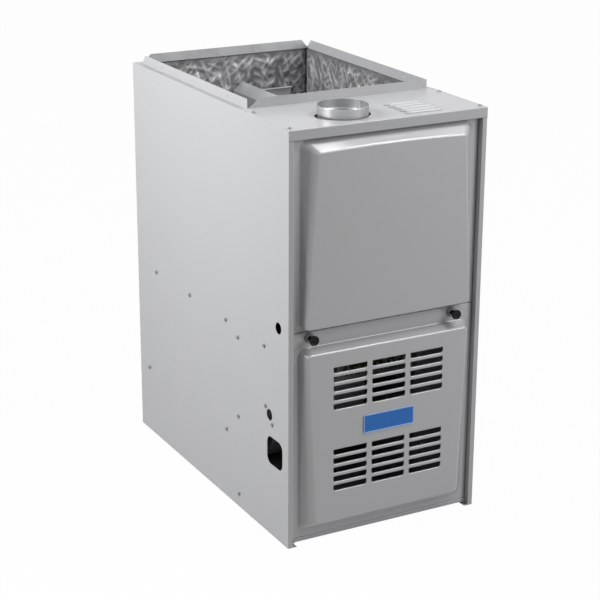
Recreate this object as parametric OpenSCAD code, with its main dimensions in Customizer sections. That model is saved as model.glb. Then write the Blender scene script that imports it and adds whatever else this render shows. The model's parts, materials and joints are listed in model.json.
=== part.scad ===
// Upflow forced air gas furnace. Millimetres, +Z up, front towards -Y.
// Every piece is drawn with y = 0 on the cabinet's front plane and moved back by placed().

/* [Cabinet] */
// Cabinet width, over the side panels
cab_w = 444.5; // [400:1:620]
// Cabinet depth, front plane to back panel
cab_d = 737; // [700:1:800]
// Cabinet height, floor to top plate
cab_h = 864; // [850:1:1000]
// Thickness of the cabinet's sheet steel
sheet = 0.9; // [0.7:0.1:1.5]
// Width of the painted strip on each side panel's front edge
front_strip = 11; // [8:0.5:16]
// Depth of the return wall behind that strip
front_return = 20; // [14:1:22]
// Width of the folds along the floor and the rear corners
edge_fold = 20; // [12:1:30]
// Gap left between panels that meet edge to edge
panel_gap = 0.3; // [0.2:0.05:0.5]

/* [Top and duct flange] */
// Depth of the closed top plate, from the front plane to the supply opening
top_depth = 203; // [190:1:225]
// Height of the top plate's front lip
lip_h = 21; // [15:1:26]
// Depth of the fold under the lip
lip_return = 16; // [14:1:19]
// Width of the ledge between a side wall and its duct flange
side_ledge = 15; // [12:1:22]
// Width of the ledge between the back wall and its duct flange
rear_ledge = 23.5; // [18:0.5:30]
// Height of the duct flange above the top plate
duct_flange_h = 19; // [12:1:30]
// Slant of the front duct flange's ends
front_mitre = 27; // [5:1:40]
// Slant of the rear duct flange's ends
rear_mitre = 17; // [5:1:30]

/* [Vent] */
// Outer radius of the vent collar
vent_r = 50.8; // [38:0.1:63.5]
// Wall of the vent collar
vent_wall = 0.7; // [0.5:0.1:1.5]
// Height of the collar's rim above the top plate
vent_rise = 21; // [20:1:60]
// Vent axis, to the left of the cabinet's centre
vent_left = 66.5; // [55:0.5:80]
// Vent axis, behind the front plane
vent_back = 71.6; // [68:0.1:90]
// Gap between the collar and the top plate's hole, front and rear
vent_gap = 0.3; // [0.2:0.1:4]
// Gap between the collar and the top plate's hole at its left and right
vent_side_gap = 7; // [1:0.5:10]

/* [Top louvres] */
// Number of raised louvres in the top plate
top_louvre_count = 5; // [2:1:6]
// Length of one raised louvre
top_louvre_len = 78; // [50:1:85]
// Distance from one raised louvre to the next
top_louvre_pitch = 20; // [16:1:24]
// Height of a raised louvre
top_louvre_h = 4.5; // [3:0.5:7]

/* [Doors] */
// Height of the seam between the doors
seam_z = 455; // [450:1:460]
// Width of that seam
seam_gap = 1; // [0.6:0.1:2]
// Setback of the doors' flanges behind the front plane
door_setback = 12; // [8:0.5:16]
// Thickness of the doors' sheet steel
door_sheet = 0.9; // [0.7:0.1:1.2]
// Depth of the folds round each door's edge
door_fold = 9; // [6:0.5:10]
// Gap between a door and the return wall beside it
door_side_gap = 1.5; // [1:0.1:4]
// How far the upper door's top edge stands proud of the front plane
upper_proud_top = 13.6; // [4:0.2:20]
// How far the upper door's bottom edge stands proud of the front plane
upper_proud_bottom = 9.8; // [4:0.2:20]
// How far the lower door's top edge stands proud of the front plane
lower_proud_top = 10.7; // [4:0.2:20]
// How far the lower door's bottom edge stands proud of the front plane
lower_proud_bottom = 17; // [14:0.2:24]

/* [Door louvres] */
// Width of one louvre slot
slot_w = 77; // [60:1:82]
// Height of one louvre slot
slot_h = 12.5; // [9:0.5:15]
// Distance from one slot down to the next
slot_pitch = 19.4; // [18:0.2:22]
// Rows of slots in each group
slot_rows = 5; // [2:1:5]
// Distance from one column of slots to the next
slot_column_pitch = 89; // [86:1:98]
// Top of the upper group of slots
upper_slots_top = 379.3; // [370:0.1:388]
// Top of the lower group of slots
lower_slots_top = 204.3; // [190:0.1:212]

/* [Badge and knobs] */
// Width of the blank badge plate
badge_w = 118; // [80:1:140]
// Height of the blank badge plate
badge_h = 39; // [25:1:44]
// Badge centre above the floor
badge_z = 245.6; // [240:0.1:252]
// Distance from a door's side edge in to its knob
knob_inset = 45.05; // [40:0.05:60]
// How far the pair of knobs sits left of the cabinet's centre
knob_left = 6.2; // [0:0.1:8]
// Height of the knobs
knob_z = 443; // [436:0.5:443]
// Outer radius of a knob's head
knob_r = 10.3; // [8:0.1:10.5]
// How far a knob's head stands proud of the front plane
knob_proud = 13; // [9:0.5:14]
// Radius of a knob's screw
knob_screw_r = 3; // [2.5:0.1:4]

/* [Side openings] */
// Radius of the gas pipe hole
gas_hole_r = 12; // [11.5:0.1:16]
// Gas pipe hole behind the front plane
gas_back = 42.3; // [40:0.1:50]
// Gas pipe hole above the floor
gas_z = 460.5; // [456:0.5:466]
// Radius of the line voltage hole
wire_hole_r = 12; // [10:0.1:14]
// Line voltage hole behind the front plane
wire_back = 81; // [70:0.5:90]
// Line voltage hole above the floor
wire_z = 263.6; // [255:0.1:275]
// Depth of the rounded side opening, front to back
side_open_d = 66.3; // [50:0.1:80]
// Height of the rounded side opening
side_open_h = 60; // [45:1:70]
// Corner radius of the rounded side opening
side_open_r = 16; // [8:1:20]
// Front edge of the side opening behind the front plane
side_open_back = 25; // [22:0.5:35]
// Bottom edge of the side opening above the floor
side_open_z = 158; // [140:1:165]

/* [Blower] */
// Height of the blower deck
deck_z = 415; // [412:1:418]
// Depth of the deck's side flanges
deck_flange = 20; // [14:1:24]
// Distance of the partition posts behind the front plane
post_back = 221; // [212:1:228]
// Height of the blower rails
rail_z = 158; // [150:1:165]
// Radius of the blower wheel
wheel_r = 127; // [110:1:128]
// Width of the blower wheel
wheel_w = 203; // [160:1:205]
// Number of blades round the wheel
blade_count = 36; // [24:1:40]
// Wheel axis behind the front plane
wheel_back = 430; // [425:1:440]
// Wheel axis above the floor
wheel_z = 203; // [200:1:206]
// Radius of the blower motor
motor_r = 70; // [60:1:72]
// Radius of the blower shaft
shaft_r = 6.35; // [6:0.05:8]
// Radial clearance of the turning shafts
running_gap = 0.05; // [0.02:0.01:0.08]

/* [Heat exchanger] */
// Number of heat exchanger tubes, and of burners
tube_count = 4; // [2:1:4]
// Distance from one tube to the next
tube_pitch = 80; // [64:1:84]
// Outer radius of a tube
tube_r = 19; // [16:0.5:21]
// Wall of a tube
tube_wall = 1.2; // [0.8:0.1:2]
// Height of a tube's lowest pass, and of the burners
burner_z = 505; // [500:1:510]
// Drop from the cabinet's top to the tubes' outlet pass
outlet_drop = 134; // [130:1:150]
// Thickness of the foil-faced insulation
pad_t = 19; // [12:1:22]

/* [Hidden] */

round_fn = 64;
hull_fn = 32;

screw_r = 4.4;
screw_h = 3;
front_y = -(cab_d + lower_proud_bottom + screw_h) / 2 + lower_proud_bottom;

half_w = cab_w / 2;
in_x = half_w - sheet;
side_h = cab_h - sheet;
duct_top = cab_h + duct_flange_h;
duct_x = half_w - side_ledge;
duct_rear = cab_d - rear_ledge;
lip_z = cab_h - lip_h;
vest_y = top_depth - sheet;

door_half = half_w - front_strip - door_side_gap;
knob_x = door_half - knob_inset;
upper_bottom = seam_z + seam_gap / 2;
upper_top = lip_z - panel_gap;
lower_top = seam_z - seam_gap / 2;
base_rail_low = 4.5;
base_rail_top = 13;
lower_bottom = base_rail_top + panel_gap;
door_back = door_setback + door_sheet;
rail_y = door_setback + door_fold + panel_gap;

deck_under = deck_z - sheet;
floor_z = 3 * sheet;
blower_half = wheel_w / 2 + 7;
side_open_corner = min(side_open_r, side_open_h / 2 - 1, side_open_d / 2 - 1);

// ---------------------------------------------------------------- helpers

// Moves a piece from the cabinet's front plane to the part's own frame.
module placed() {
    translate([0, front_y, 0]) children();
}

// Block between two opposite corners.
module slab(lo, hi) {
    translate(lo) cube(hi - lo);
}

// Children on both sides of the cabinet's centre plane.
module both_sides() {
    children();
    mirror([1, 0, 0]) children();
}

// Cylinder along Y from y0 to y1.
module y_cylinder(r, y0, y1, x = 0, z = 0) {
    translate([x, y1, z]) rotate([90, 0, 0]) cylinder(r = r, h = y1 - y0, $fn = round_fn);
}

// Cylinder along X from x0 to x1.
module x_cylinder(r, x0, x1, y = 0, z = 0) {
    translate([x0, y, z]) rotate([0, 90, 0]) cylinder(r = r, h = x1 - x0, $fn = round_fn);
}

// Outline in the YZ plane, carried along X from x0 to x1.
module x_profile(x0, x1) {
    translate([x0, 0, 0]) rotate([90, 0, 90]) linear_extrude(height = x1 - x0) children();
}

// Outline in the XZ plane, carried along Y from y0 to y1.
module y_profile(y0, y1) {
    translate([0, y1, 0]) rotate([90, 0, 0]) linear_extrude(height = y1 - y0) children();
}

// Rectangle with round corners, centred on its own origin.
module rounded_rect(w, h, r) {
    union() {
        square([w - 2 * r, h], center = true);
        square([w, h - 2 * r], center = true);
        for (sx = [-1, 1], sy = [-1, 1])
            translate([sx * (w / 2 - r), sy * (h / 2 - r)]) circle(r = r, $fn = round_fn);
    }
}

// Hex screw head with a washer, standing on z = 0.
module hex_head() {
    cylinder(r = screw_r, h = 0.8, $fn = round_fn);
    difference() {
        cylinder(r = screw_r * 0.86, h = screw_h, $fn = 6);
        translate([0, 0, screw_h - 0.6]) cylinder(r = screw_r * 0.45, h = 1, $fn = round_fn);
    }
}

// ---------------------------------------------------------------- cabinet

// Flat wall of a side panel: notched at the top front for the lip.
module side_wall_outline() {
    notch = sheet + panel_gap;
    polygon([
        [0, 0], [cab_d, 0], [cab_d, side_h], [notch, side_h],
        [notch, lip_z - panel_gap], [0, lip_z - panel_gap]
    ]);
}

// Duct flange of a side panel: square at the front, slanted at the rear.
module side_flange_outline() {
    flange_end = cab_d - edge_fold + 2;
    polygon([
        [top_depth, side_h - sheet], [flange_end, side_h - sheet], [flange_end, cab_h],
        [flange_end - duct_flange_h, duct_top], [top_depth, duct_top]
    ]);
}

// Left side panel's folded sheet, without its openings.
module side_sheet() {
    strip_top = lip_z - panel_gap;
    return_x = -half_w + front_strip;
    union() {
        x_profile(-half_w, -in_x) side_wall_outline();
        slab([-half_w, 0, 0], [return_x, sheet, strip_top]);
        slab([return_x - sheet, 0, 0], [return_x, front_return, strip_top]);
        slab([-half_w, 0, 0], [-half_w + edge_fold, cab_d - sheet, sheet]);
        slab([-half_w, cab_d - 2 * sheet, 0], [-half_w + edge_fold, cab_d - sheet, side_h]);
        slab([-half_w, sheet + panel_gap, side_h - sheet], [-duct_x + sheet, cab_d, side_h]);
        x_profile(-duct_x, -duct_x + sheet) side_flange_outline();
    }
}

// Pilot holes in a side duct flange.
module flange_pilot_holes() {
    for (back = [top_depth + 88, cab_d - 125])
        x_cylinder(1.6, -half_w, 0, back, cab_h + duct_flange_h * 0.45);
}

module left_side_panel() {
    color([0.78, 0.79, 0.81]) placed()
    difference() {
        side_sheet();
        flange_pilot_holes();
        x_cylinder(gas_hole_r, -half_w - 1, -in_x + 1, gas_back, gas_z);
        x_cylinder(wire_hole_r, -half_w - 1, -in_x + 1, wire_back, wire_z);
        x_profile(-half_w - 1, -in_x + 1)
            translate([side_open_back + side_open_d / 2, side_open_z + side_open_h / 2])
            rounded_rect(side_open_d, side_open_h, side_open_corner);
    }
}

module right_side_panel() {
    color([0.78, 0.79, 0.81]) placed()
    mirror([1, 0, 0])
    difference() {
        side_sheet();
        flange_pilot_holes();
    }
}

module back_panel() {
    web_x = in_x - panel_gap;
    fold_x = half_w - edge_fold - panel_gap;
    flange_x = duct_x - sheet - panel_gap;
    color([0.74, 0.75, 0.77]) placed()
    union() {
        slab([-web_x, cab_d - sheet, 0], [web_x, cab_d, side_h - sheet - panel_gap]);
        slab([-flange_x, cab_d - sheet, 0], [flange_x, cab_d, side_h]);
        slab([-fold_x, cab_d - edge_fold, 0], [fold_x, cab_d, sheet]);
        slab([-flange_x, duct_rear, side_h - sheet], [flange_x, cab_d, side_h]);
        y_profile(duct_rear, duct_rear + sheet) polygon([
            [-flange_x, side_h - sheet], [flange_x, side_h - sheet], [flange_x, cab_h],
            [flange_x - rear_mitre, duct_top], [-flange_x + rear_mitre, duct_top],
            [-flange_x, cab_h]
        ]);
    }
}

// One raised louvre: a ramp that opens towards the rear, seen along X.
module top_louvre_outline() {
    run = top_louvre_pitch * 0.45;
    polygon([
        [-run, 0], [-run * 0.35, top_louvre_h * 0.8], [0, top_louvre_h],
        [0, top_louvre_h - sheet], [-run * 0.35, top_louvre_h * 0.8 - sheet],
        [-run + sheet * 1.5, -sheet], [-run, -sheet]
    ]);
}

// Places of the raised louvres in the top plate.
module each_top_louvre() {
    first = vent_back - top_louvre_pitch * (top_louvre_count - 1) / 2;
    for (i = [0 : top_louvre_count - 1])
        translate([0, first + i * top_louvre_pitch, cab_h]) children();
}

// Hole for the collar: round, and let out by a flatter arc at its left and right.
module vent_hole(depth) {
    side_r = vent_r * 0.69;
    cylinder(r = vent_r + vent_gap, h = depth, $fn = round_fn);
    both_sides()
        translate([vent_r + vent_side_gap - side_r, 0, 0]) cylinder(r = side_r, h = depth, $fn = round_fn);
}

module top_panel() {
    louvre_right = half_w - 97;
    louvre_left = louvre_right - top_louvre_len;
    flange_x = duct_x - sheet - panel_gap;
    color([0.77, 0.77, 0.78]) placed()
    union() {
        difference() {
            slab([-half_w, 0, side_h], [half_w, top_depth, cab_h]);
            translate([-vent_left, vent_back, side_h - 1]) vent_hole(sheet + 2);
            each_top_louvre()
                slab([louvre_left, -top_louvre_pitch * 0.4, -sheet - 1], [louvre_right, 0, 1]);
        }
        each_top_louvre() x_profile(louvre_left, louvre_right) top_louvre_outline();
        slab([-half_w, 0, lip_z], [half_w, sheet, cab_h]);
        slab([-in_x + panel_gap, 0, lip_z], [in_x - panel_gap, lip_return, lip_z + sheet]);
        y_profile(vest_y, top_depth) polygon([
            [-flange_x, side_h], [flange_x, side_h], [flange_x - front_mitre, duct_top],
            [-flange_x + front_mitre, duct_top]
        ]);
    }
}

// ---------------------------------------------------------------- inner sheet metal

function tube_x(i) = (i - (tube_count - 1) / 2) * tube_pitch;
outlet_z = cab_h - outlet_drop;
pass_pitch = (outlet_z - burner_z) / 3;

module vestibule_panel() {
    ledge_x = duct_x - sheet - panel_gap;
    color([0.70, 0.71, 0.73]) placed()
    difference() {
        union() {
            slab([-in_x, vest_y, deck_z], [in_x, top_depth, side_h - sheet - panel_gap]);
            slab([-ledge_x, vest_y, deck_z], [ledge_x, top_depth, side_h]);
            slab([-ledge_x, vest_y - 12, side_h - sheet], [ledge_x, top_depth, side_h]);
            slab([-in_x, vest_y - 12, deck_z], [in_x, top_depth, deck_z + sheet]);
        }
        for (i = [0 : tube_count - 1], z = [burner_z, outlet_z])
            y_cylinder(tube_r + panel_gap, vest_y - 1, top_depth + 1, tube_x(i), z);
    }
}

// Sheet plate with a flange turned down along each side wall.
module blower_deck() {
    front = 30;
    rear = cab_d - 2 * sheet - panel_gap;
    color([0.68, 0.69, 0.71]) placed()
    difference() {
        union() {
            slab([-in_x, front, deck_under], [in_x, rear, deck_z]);
            both_sides()
                slab([-in_x, front, deck_z - deck_flange], [-in_x + sheet, rear, deck_z]);
            slab([-in_x, front, deck_z - deck_flange / 2], [in_x, front + sheet, deck_z]);
        }
        slab([-blower_half + 4, scroll_cutoff_y() + 4, deck_under - 1],
             [blower_half - 4, scroll_rear_y() - 4, deck_z + 1]);
    }
}

// Rail behind the seam between the doors, with its ends turned back along the side walls.
module centre_rail() {
    bottom = seam_z - 34;
    top = seam_z + 15;
    end_depth = 18;
    color([0.66, 0.67, 0.69]) placed()
    difference() {
        union() {
            slab([-in_x, rail_y, bottom], [in_x, rail_y + sheet, top]);
            slab([-in_x, rail_y, bottom], [in_x, rail_y + 14, bottom + sheet]);
            both_sides()
                slab([-in_x, rail_y, bottom], [-in_x + sheet, rail_y + end_depth, gas_z - gas_hole_r - 3]);
        }
        for (sx = [-1, 1])
            y_cylinder(knob_screw_r + 1, rail_y - 1, rail_y + 3, sx * knob_x - knob_left, knob_z);
        y_cylinder(plunger_r + 0.3, rail_y - 1, rail_y + 3, plunger_x, knob_z);
    }
}

module base_rail() {
    face = door_setback - 1;
    depth = front_return + 6;
    rail_x = half_w - front_strip - panel_gap;
    color([0.76, 0.76, 0.78]) placed()
    union() {
        slab([-rail_x, face, base_rail_low], [rail_x, face + sheet, base_rail_top]);
        slab([-rail_x, face, base_rail_top - sheet], [rail_x, depth, base_rail_top]);
        slab([-rail_x, face, base_rail_low], [rail_x, depth, base_rail_low + sheet]);
    }
}

// Tray that closes the bottom, resting on the panels' floor folds.
module bottom_closure_panel() {
    side = in_x - panel_gap;
    front = 46;
    rear = cab_d - 2 * sheet - panel_gap;
    color([0.70, 0.71, 0.73]) placed()
    difference() {
        union() {
            slab([-side, front, sheet], [side, rear, 2 * sheet]);
            slab([-side, front, sheet], [side, front + sheet, 12]);
            slab([-side, rear - sheet, sheet], [side, rear, 12]);
        }
        for (sx = [-1, 1], y = [front + 60, rear - 60])
            translate([sx * (half_w - edge_fold / 2), y, 0]) cylinder(r = 2.5, h = 5, $fn = round_fn);
    }
}

module partition_posts() {
    color([0.66, 0.67, 0.69]) placed()
    both_sides() {
        slab([-in_x, post_back - 10, floor_z], [-in_x + sheet, post_back + 10, post_top()]);
        slab([-in_x, post_back - 10, floor_z], [-in_x + 18, post_back - 10 + sheet, post_top()]);
        slab([-in_x, post_back + 10 - sheet, floor_z], [-in_x + 18, post_back + 10, post_top()]);
    }
}

function post_top() = deck_z - deck_flange - panel_gap;

rail_inner = in_x - 60;

// Angle rails that carry the blower's mounting wings.
module blower_rails() {
    color([0.66, 0.67, 0.69]) placed()
    both_sides() {
        slab([-in_x, post_back + 25, rail_z - 10], [-in_x + sheet, cab_d - 32, rail_z + 10]);
        slab([-in_x, post_back + 25, rail_z + 10 - sheet], [-rail_inner, cab_d - 32, rail_z + 10]);
    }
}

module side_pad() {
    slab([-in_x, top_depth + panel_gap, deck_z + panel_gap],
         [-in_x + pad_t, duct_rear, side_h - sheet - panel_gap]);
}

module left_insulation() {
    color([0.45, 0.45, 0.46]) placed() side_pad();
}

module right_insulation() {
    color([0.45, 0.45, 0.46]) placed() mirror([1, 0, 0]) side_pad();
}

module rear_insulation() {
    rear = cab_d - 2 * sheet;
    color([0.45, 0.45, 0.46]) placed()
    slab([-in_x + pad_t + panel_gap, rear - pad_t, deck_z + panel_gap],
         [in_x - pad_t - panel_gap, rear, side_h - sheet - panel_gap]);
}

// ---------------------------------------------------------------- air baffles

baffle_x = 38;
baffle_z = outlet_z + 70;
baffle_slope_w = 24;
baffle_slope_h = 18;
baffle_rear = cab_d - 2 * sheet - pad_t - panel_gap;

// Long baffle: an upright sheet with a slanted top edge, from the vestibule panel to the rear wall.
module centre_air_baffle() {
    foot = outlet_z + tube_r + panel_gap;
    left = baffle_x - baffle_slope_w;
    color([0.60, 0.61, 0.62]) placed()
    y_profile(top_depth + panel_gap, baffle_rear) polygon([
        [baffle_x, baffle_z], [left, baffle_z - baffle_slope_h], [left, foot + sheet],
        [left - 22, foot + sheet], [left - 22, foot], [left + sheet, foot],
        [left + sheet, baffle_z - baffle_slope_h - sheet / 2], [baffle_x, baffle_z - sheet * 1.2]
    ]);
}

// Short baffle square to the long one, with a lip along its top.
module cross_air_baffle() {
    left = baffle_x - baffle_slope_w + sheet;
    reach = 74;
    rear_room = 116;
    right = baffle_x + reach;
    back = cab_d - rear_room;
    foot = outlet_z + tube_r + panel_gap;
    color([0.62, 0.63, 0.64]) placed()
    union() {
        slab([left, back, foot], [right, back + sheet, baffle_z - baffle_slope_h - 3]);
        slab([baffle_x + 1, back, foot], [right, back + sheet, baffle_z]);
        slab([baffle_x + 1, back - 10, baffle_z - sheet], [right, back + sheet, baffle_z]);
        slab([left, back - 45, foot], [right, back + sheet, foot + sheet]);
    }
}

// ---------------------------------------------------------------- heat exchanger

tube_front = vest_y - 6;
bend_r = pass_pitch / 2;
bend_back = top_depth + 297;
bend_front = top_depth + bend_r + tube_r + 6;

// Half turn of a tube: x = 0 plane, centre at (y, z); side +1 opens to the front, -1 to the rear.
module tube_bend(y, z, side, r) {
    translate([0, y, z]) rotate([0, -90, 0]) rotate([0, 0, side > 0 ? 0 : 180])
        rotate_extrude(angle = 180, $fn = round_fn) translate([bend_r, 0]) circle(r = r, $fn = round_fn);
}

// Four level passes joined by three half turns, of one radius.
module tube_run(r, extra) {
    pass_ends = [
        [tube_front - extra, bend_back], [bend_front, bend_back],
        [bend_front, bend_back], [tube_front - extra, bend_back]
    ];
    union() {
        for (p = [0 : 3])
            y_cylinder(r, pass_ends[p][0], pass_ends[p][1], 0, burner_z + p * pass_pitch);
        tube_bend(bend_back, burner_z + bend_r, 1, r);
        tube_bend(bend_front, burner_z + pass_pitch + bend_r, -1, r);
        tube_bend(bend_back, burner_z + 2 * pass_pitch + bend_r, 1, r);
    }
}

module heat_exchanger_tubes() {
    color([0.55, 0.55, 0.54]) placed()
    for (i = [0 : tube_count - 1])
        translate([tube_x(i), 0, 0])
        difference() {
            tube_run(tube_r, 0);
            tube_run(tube_r - tube_wall, 1);
        }
}

box_front = vest_y - 50;
box_half = tube_pitch * (tube_count - 1) / 2 + tube_r + 12;
box_low = outlet_z - tube_r - 14;
box_high = outlet_z + tube_r + 14;
inlet_r = 30;
inducer_z = outlet_z;

module collector_box() {
    color([0.60, 0.60, 0.60]) placed()
    difference() {
        slab([-box_half, box_front, box_low], [box_half, vest_y, box_high]);
        slab([-box_half + 1.2, box_front + 1.2, box_low + 1.2], [box_half - 1.2, vest_y + 1, box_high - 1.2]);
        y_cylinder(inlet_r, box_front - 1, box_front + 2, 0, inducer_z);
    }
}

// ---------------------------------------------------------------- draft inducer

gasket_t = 2;
inducer_rear = box_front - gasket_t;
inducer_front = inducer_rear - 50;
inducer_mid = (inducer_rear + inducer_front) / 2;
fan_r = 48;
fan_w = 30;
throat_r = 26;

module inducer_gasket() {
    color([0.25, 0.25, 0.25]) placed()
    difference() {
        y_cylinder(inlet_r + 12, inducer_rear, box_front, 0, inducer_z);
        y_cylinder(inlet_r, inducer_rear - 1, box_front + 1, 0, inducer_z);
    }
}

// Spiral of the inducer seen from the front: it grows clockwise and leaves upwards on the left.
function inducer_spiral(grow) = [
    for (a = [0 : 12 : 300])
        let (r = fan_r + 5 + (vent_left + throat_r - fan_r - 5) * a / 300 + grow)
        [r * cos(120 - a), r * sin(120 - a)]
];

throat_h = fan_r + 22;
inducer_out_z = inducer_z + throat_h;

module inducer_outline(grow) {
    union() {
        polygon(inducer_spiral(grow));
        translate([-vent_left - throat_r - grow, 0]) square([2 * throat_r + 2 * grow, throat_h]);
    }
}

module inducer_housing() {
    wall = 2;
    color([0.22, 0.22, 0.23]) placed()
    difference() {
        union() {
            translate([0, 0, inducer_z]) y_profile(inducer_front, inducer_rear) inducer_outline(wall);
            translate([-vent_left, inducer_mid, inducer_out_z - 3])
                cylinder(r = throat_r + 2, h = 3 + 10, $fn = round_fn);
        }
        translate([0, 0, inducer_z])
            y_profile(inducer_front + wall, inducer_rear - wall)
            intersection() {
                inducer_outline(0);
                translate([-200, -200]) square([400, 200 + throat_h - wall]);
            }
        translate([-vent_left, inducer_mid, inducer_out_z - 10])
            cylinder(r = throat_r - 4, h = 30, $fn = round_fn);
        y_cylinder(inlet_r, inducer_rear - wall - 1, inducer_rear + 1, 0, inducer_z);
        y_cylinder(inducer_shaft_r + 1.5, inducer_front - 1, inducer_front + wall + 1, 0, inducer_z);
    }
}

inducer_shaft_r = 4;

module inducer_wheel() {
    disc_y = inducer_mid - fan_w / 2;
    blades = 20;
    color([0.55, 0.55, 0.56]) placed()
    union() {
        y_cylinder(fan_r - 1, disc_y - 1, disc_y + 0.6, 0, inducer_z);
        y_cylinder(9, disc_y - 1, disc_y + 16, 0, inducer_z);
        y_cylinder(inducer_shaft_r, inducer_front - 22, disc_y, 0, inducer_z);
        for (i = [0 : blades - 1])
            translate([0, 0, inducer_z]) rotate([0, i * 360 / blades, 0])
            slab([fan_r - 20, disc_y, -0.5], [fan_r - 1.2, disc_y + fan_w, 0.5]);
        difference() {
            y_cylinder(fan_r, disc_y + fan_w - 1.5, disc_y + fan_w, 0, inducer_z);
            y_cylinder(fan_r - 12, disc_y + fan_w - 2, disc_y + fan_w + 1, 0, inducer_z);
        }
    }
}

module inducer_motor() {
    motor_len = 62;
    stator_r = 34;
    motor_front = inducer_front - motor_len;
    color([0.18, 0.18, 0.19]) placed()
    difference() {
        union() {
            y_cylinder(stator_r, motor_front + 6, inducer_front - 10, 0, inducer_z);
            y_cylinder(22, motor_front, inducer_front - 4, 0, inducer_z);
            for (a = [45 : 90 : 315])
                translate([0, 0, inducer_z]) rotate([0, a, 0])
                y_cylinder(3.5, inducer_front - 14, inducer_front, stator_r - 2, 0);
        }
        y_cylinder(inducer_shaft_r + running_gap, inducer_front - 26, inducer_front, 0, inducer_z);
    }
}

// ---------------------------------------------------------------- vent

boot_bottom = inducer_out_z;
boot_top = side_h - 14;
boot_gap = 0.6;
collar_low_r = vent_r - 1;

// Offset cone between the inducer's outlet and the foot of the collar.
module boot_cone(low_r, high_r, start) {
    hull() {
        translate([-vent_left, inducer_mid, boot_bottom + start])
            cylinder(r = low_r, h = 12, $fn = hull_fn);
        translate([-vent_left, vent_back, boot_top - 6.5])
            cylinder(r = high_r, h = 0.5, $fn = hull_fn);
    }
}

// Boot that carries the flue gas forward from the inducer to the collar.
module vent_transition() {
    t = 1;
    low_r = throat_r + 2 + panel_gap;
    high_r = collar_low_r - vent_wall - boot_gap;
    color([0.66, 0.67, 0.68]) placed()
    difference() {
        union() {
            boot_cone(low_r + t, high_r, 0);
            translate([-vent_left, vent_back, boot_top - 6.5])
                cylinder(r = high_r, h = 8.5, $fn = round_fn);
        }
        boot_cone(low_r, high_r - t, -0.5);
        translate([-vent_left, vent_back, boot_top - 6.2])
            cylinder(r = high_r - t, h = 9, $fn = round_fn);
    }
}

// Round collar through the top plate. It steps in just above the plate, where a pipe pushed over it
// stops, and a bead under the plate holds it at the front and rear.
module vent_collar() {
    low = boot_top - 6;
    bead = 5;
    bead_h = 2.5;
    step_z = cab_h + 2;
    step_h = 0.8;
    color([0.80, 0.81, 0.82]) placed()
    translate([-vent_left, vent_back, 0])
    difference() {
        union() {
            translate([0, 0, low]) cylinder(r = collar_low_r, h = step_z + step_h - low, $fn = round_fn);
            translate([0, 0, step_z]) cylinder(r = vent_r, h = cab_h + vent_rise - step_z, $fn = round_fn);
            intersection() {
                translate([0, 0, side_h - bead_h]) cylinder(r = vent_r + bead, h = bead_h, $fn = round_fn);
                slab([-vent_r / 2, -vent_r - bead - 1, side_h - bead_h - 1],
                     [vent_r / 2, vent_r + bead + 1, side_h]);
            }
        }
        translate([0, 0, low - 1])
            cylinder(r = collar_low_r - vent_wall, h = step_z + step_h - low + 2, $fn = round_fn);
        translate([0, 0, step_z + step_h]) cylinder(r = vent_r - vent_wall, h = vent_rise, $fn = round_fn);
    }
}

// ---------------------------------------------------------------- burners and gas train

burner_front = 92;
burner_rear = vest_y - 8;
manifold_y = 62;
manifold_r = 10.7;

// Inshot burner: bell mouth, throat and flared end, about its own axis.
module burner_body() {
    length = burner_rear - burner_front;
    rotate_extrude($fn = round_fn) difference() {
        polygon([
            [0, 0], [15, 0], [11, 12], [10, 40], [13, length - 22], [16.5, length - 8],
            [16.5, length], [0, length]
        ]);
        polygon([
            [-1, -1], [14.2, -1], [10, 12], [9, 40], [12, length - 22], [15.5, length - 8],
            [15.5, length + 1], [-1, length + 1]
        ]);
    }
}

module burners() {
    color([0.58, 0.57, 0.54]) placed()
    for (i = [0 : tube_count - 1])
        translate([tube_x(i), burner_front, burner_z]) rotate([-90, 0, 0]) burner_body();
}

bracket_y = burner_front + 40;
bracket_half = tube_pitch * (tube_count - 1) / 2 + 36;

// U-shaped bracket that holds the burners by their throats and the manifold by two ears.
module burner_bracket() {
    low = burner_z - 24;
    high = burner_z + 24;
    color([0.70, 0.70, 0.70]) placed()
    difference() {
        union() {
            slab([-bracket_half, bracket_y, low], [bracket_half, bracket_y + 1.2, high]);
            both_sides() {
                slab([-bracket_half, manifold_y, low], [-bracket_half + 1.2, vest_y, high]);
                slab([-bracket_half - 12, vest_y - 1.2, low], [-bracket_half, vest_y, high]);
            }
        }
        for (i = [0 : tube_count - 1])
            y_cylinder(10.1 + panel_gap, bracket_y - 1, bracket_y + 3, tube_x(i), burner_z);
        x_cylinder(manifold_r + 0.2, -bracket_half - 2, bracket_half + 2, manifold_y, burner_z);
    }
}

// Gas pipe across the burners, with an elbow down to the valve.
module gas_manifold() {
    elbow_x = tube_x(0) + 10;
    color([0.15, 0.15, 0.16]) placed()
    difference() {
        union() {
            x_cylinder(manifold_r, -bracket_half - 8, bracket_half + 8, manifold_y, burner_z);
            x_cylinder(manifold_r + 3, bracket_half + 2, bracket_half + 14, manifold_y, burner_z);
            x_cylinder(manifold_r + 3, -bracket_half - 14, -bracket_half - 2, manifold_y, burner_z);
            translate([elbow_x, manifold_y, valve_top()])
                cylinder(r = manifold_r, h = burner_z - valve_top(), $fn = round_fn);
        }
        for (i = [0 : tube_count - 1])
            y_cylinder(3, manifold_y, manifold_y + manifold_r + 1, tube_x(i), burner_z);
    }
}

function valve_top() = burner_z - 20;

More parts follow.
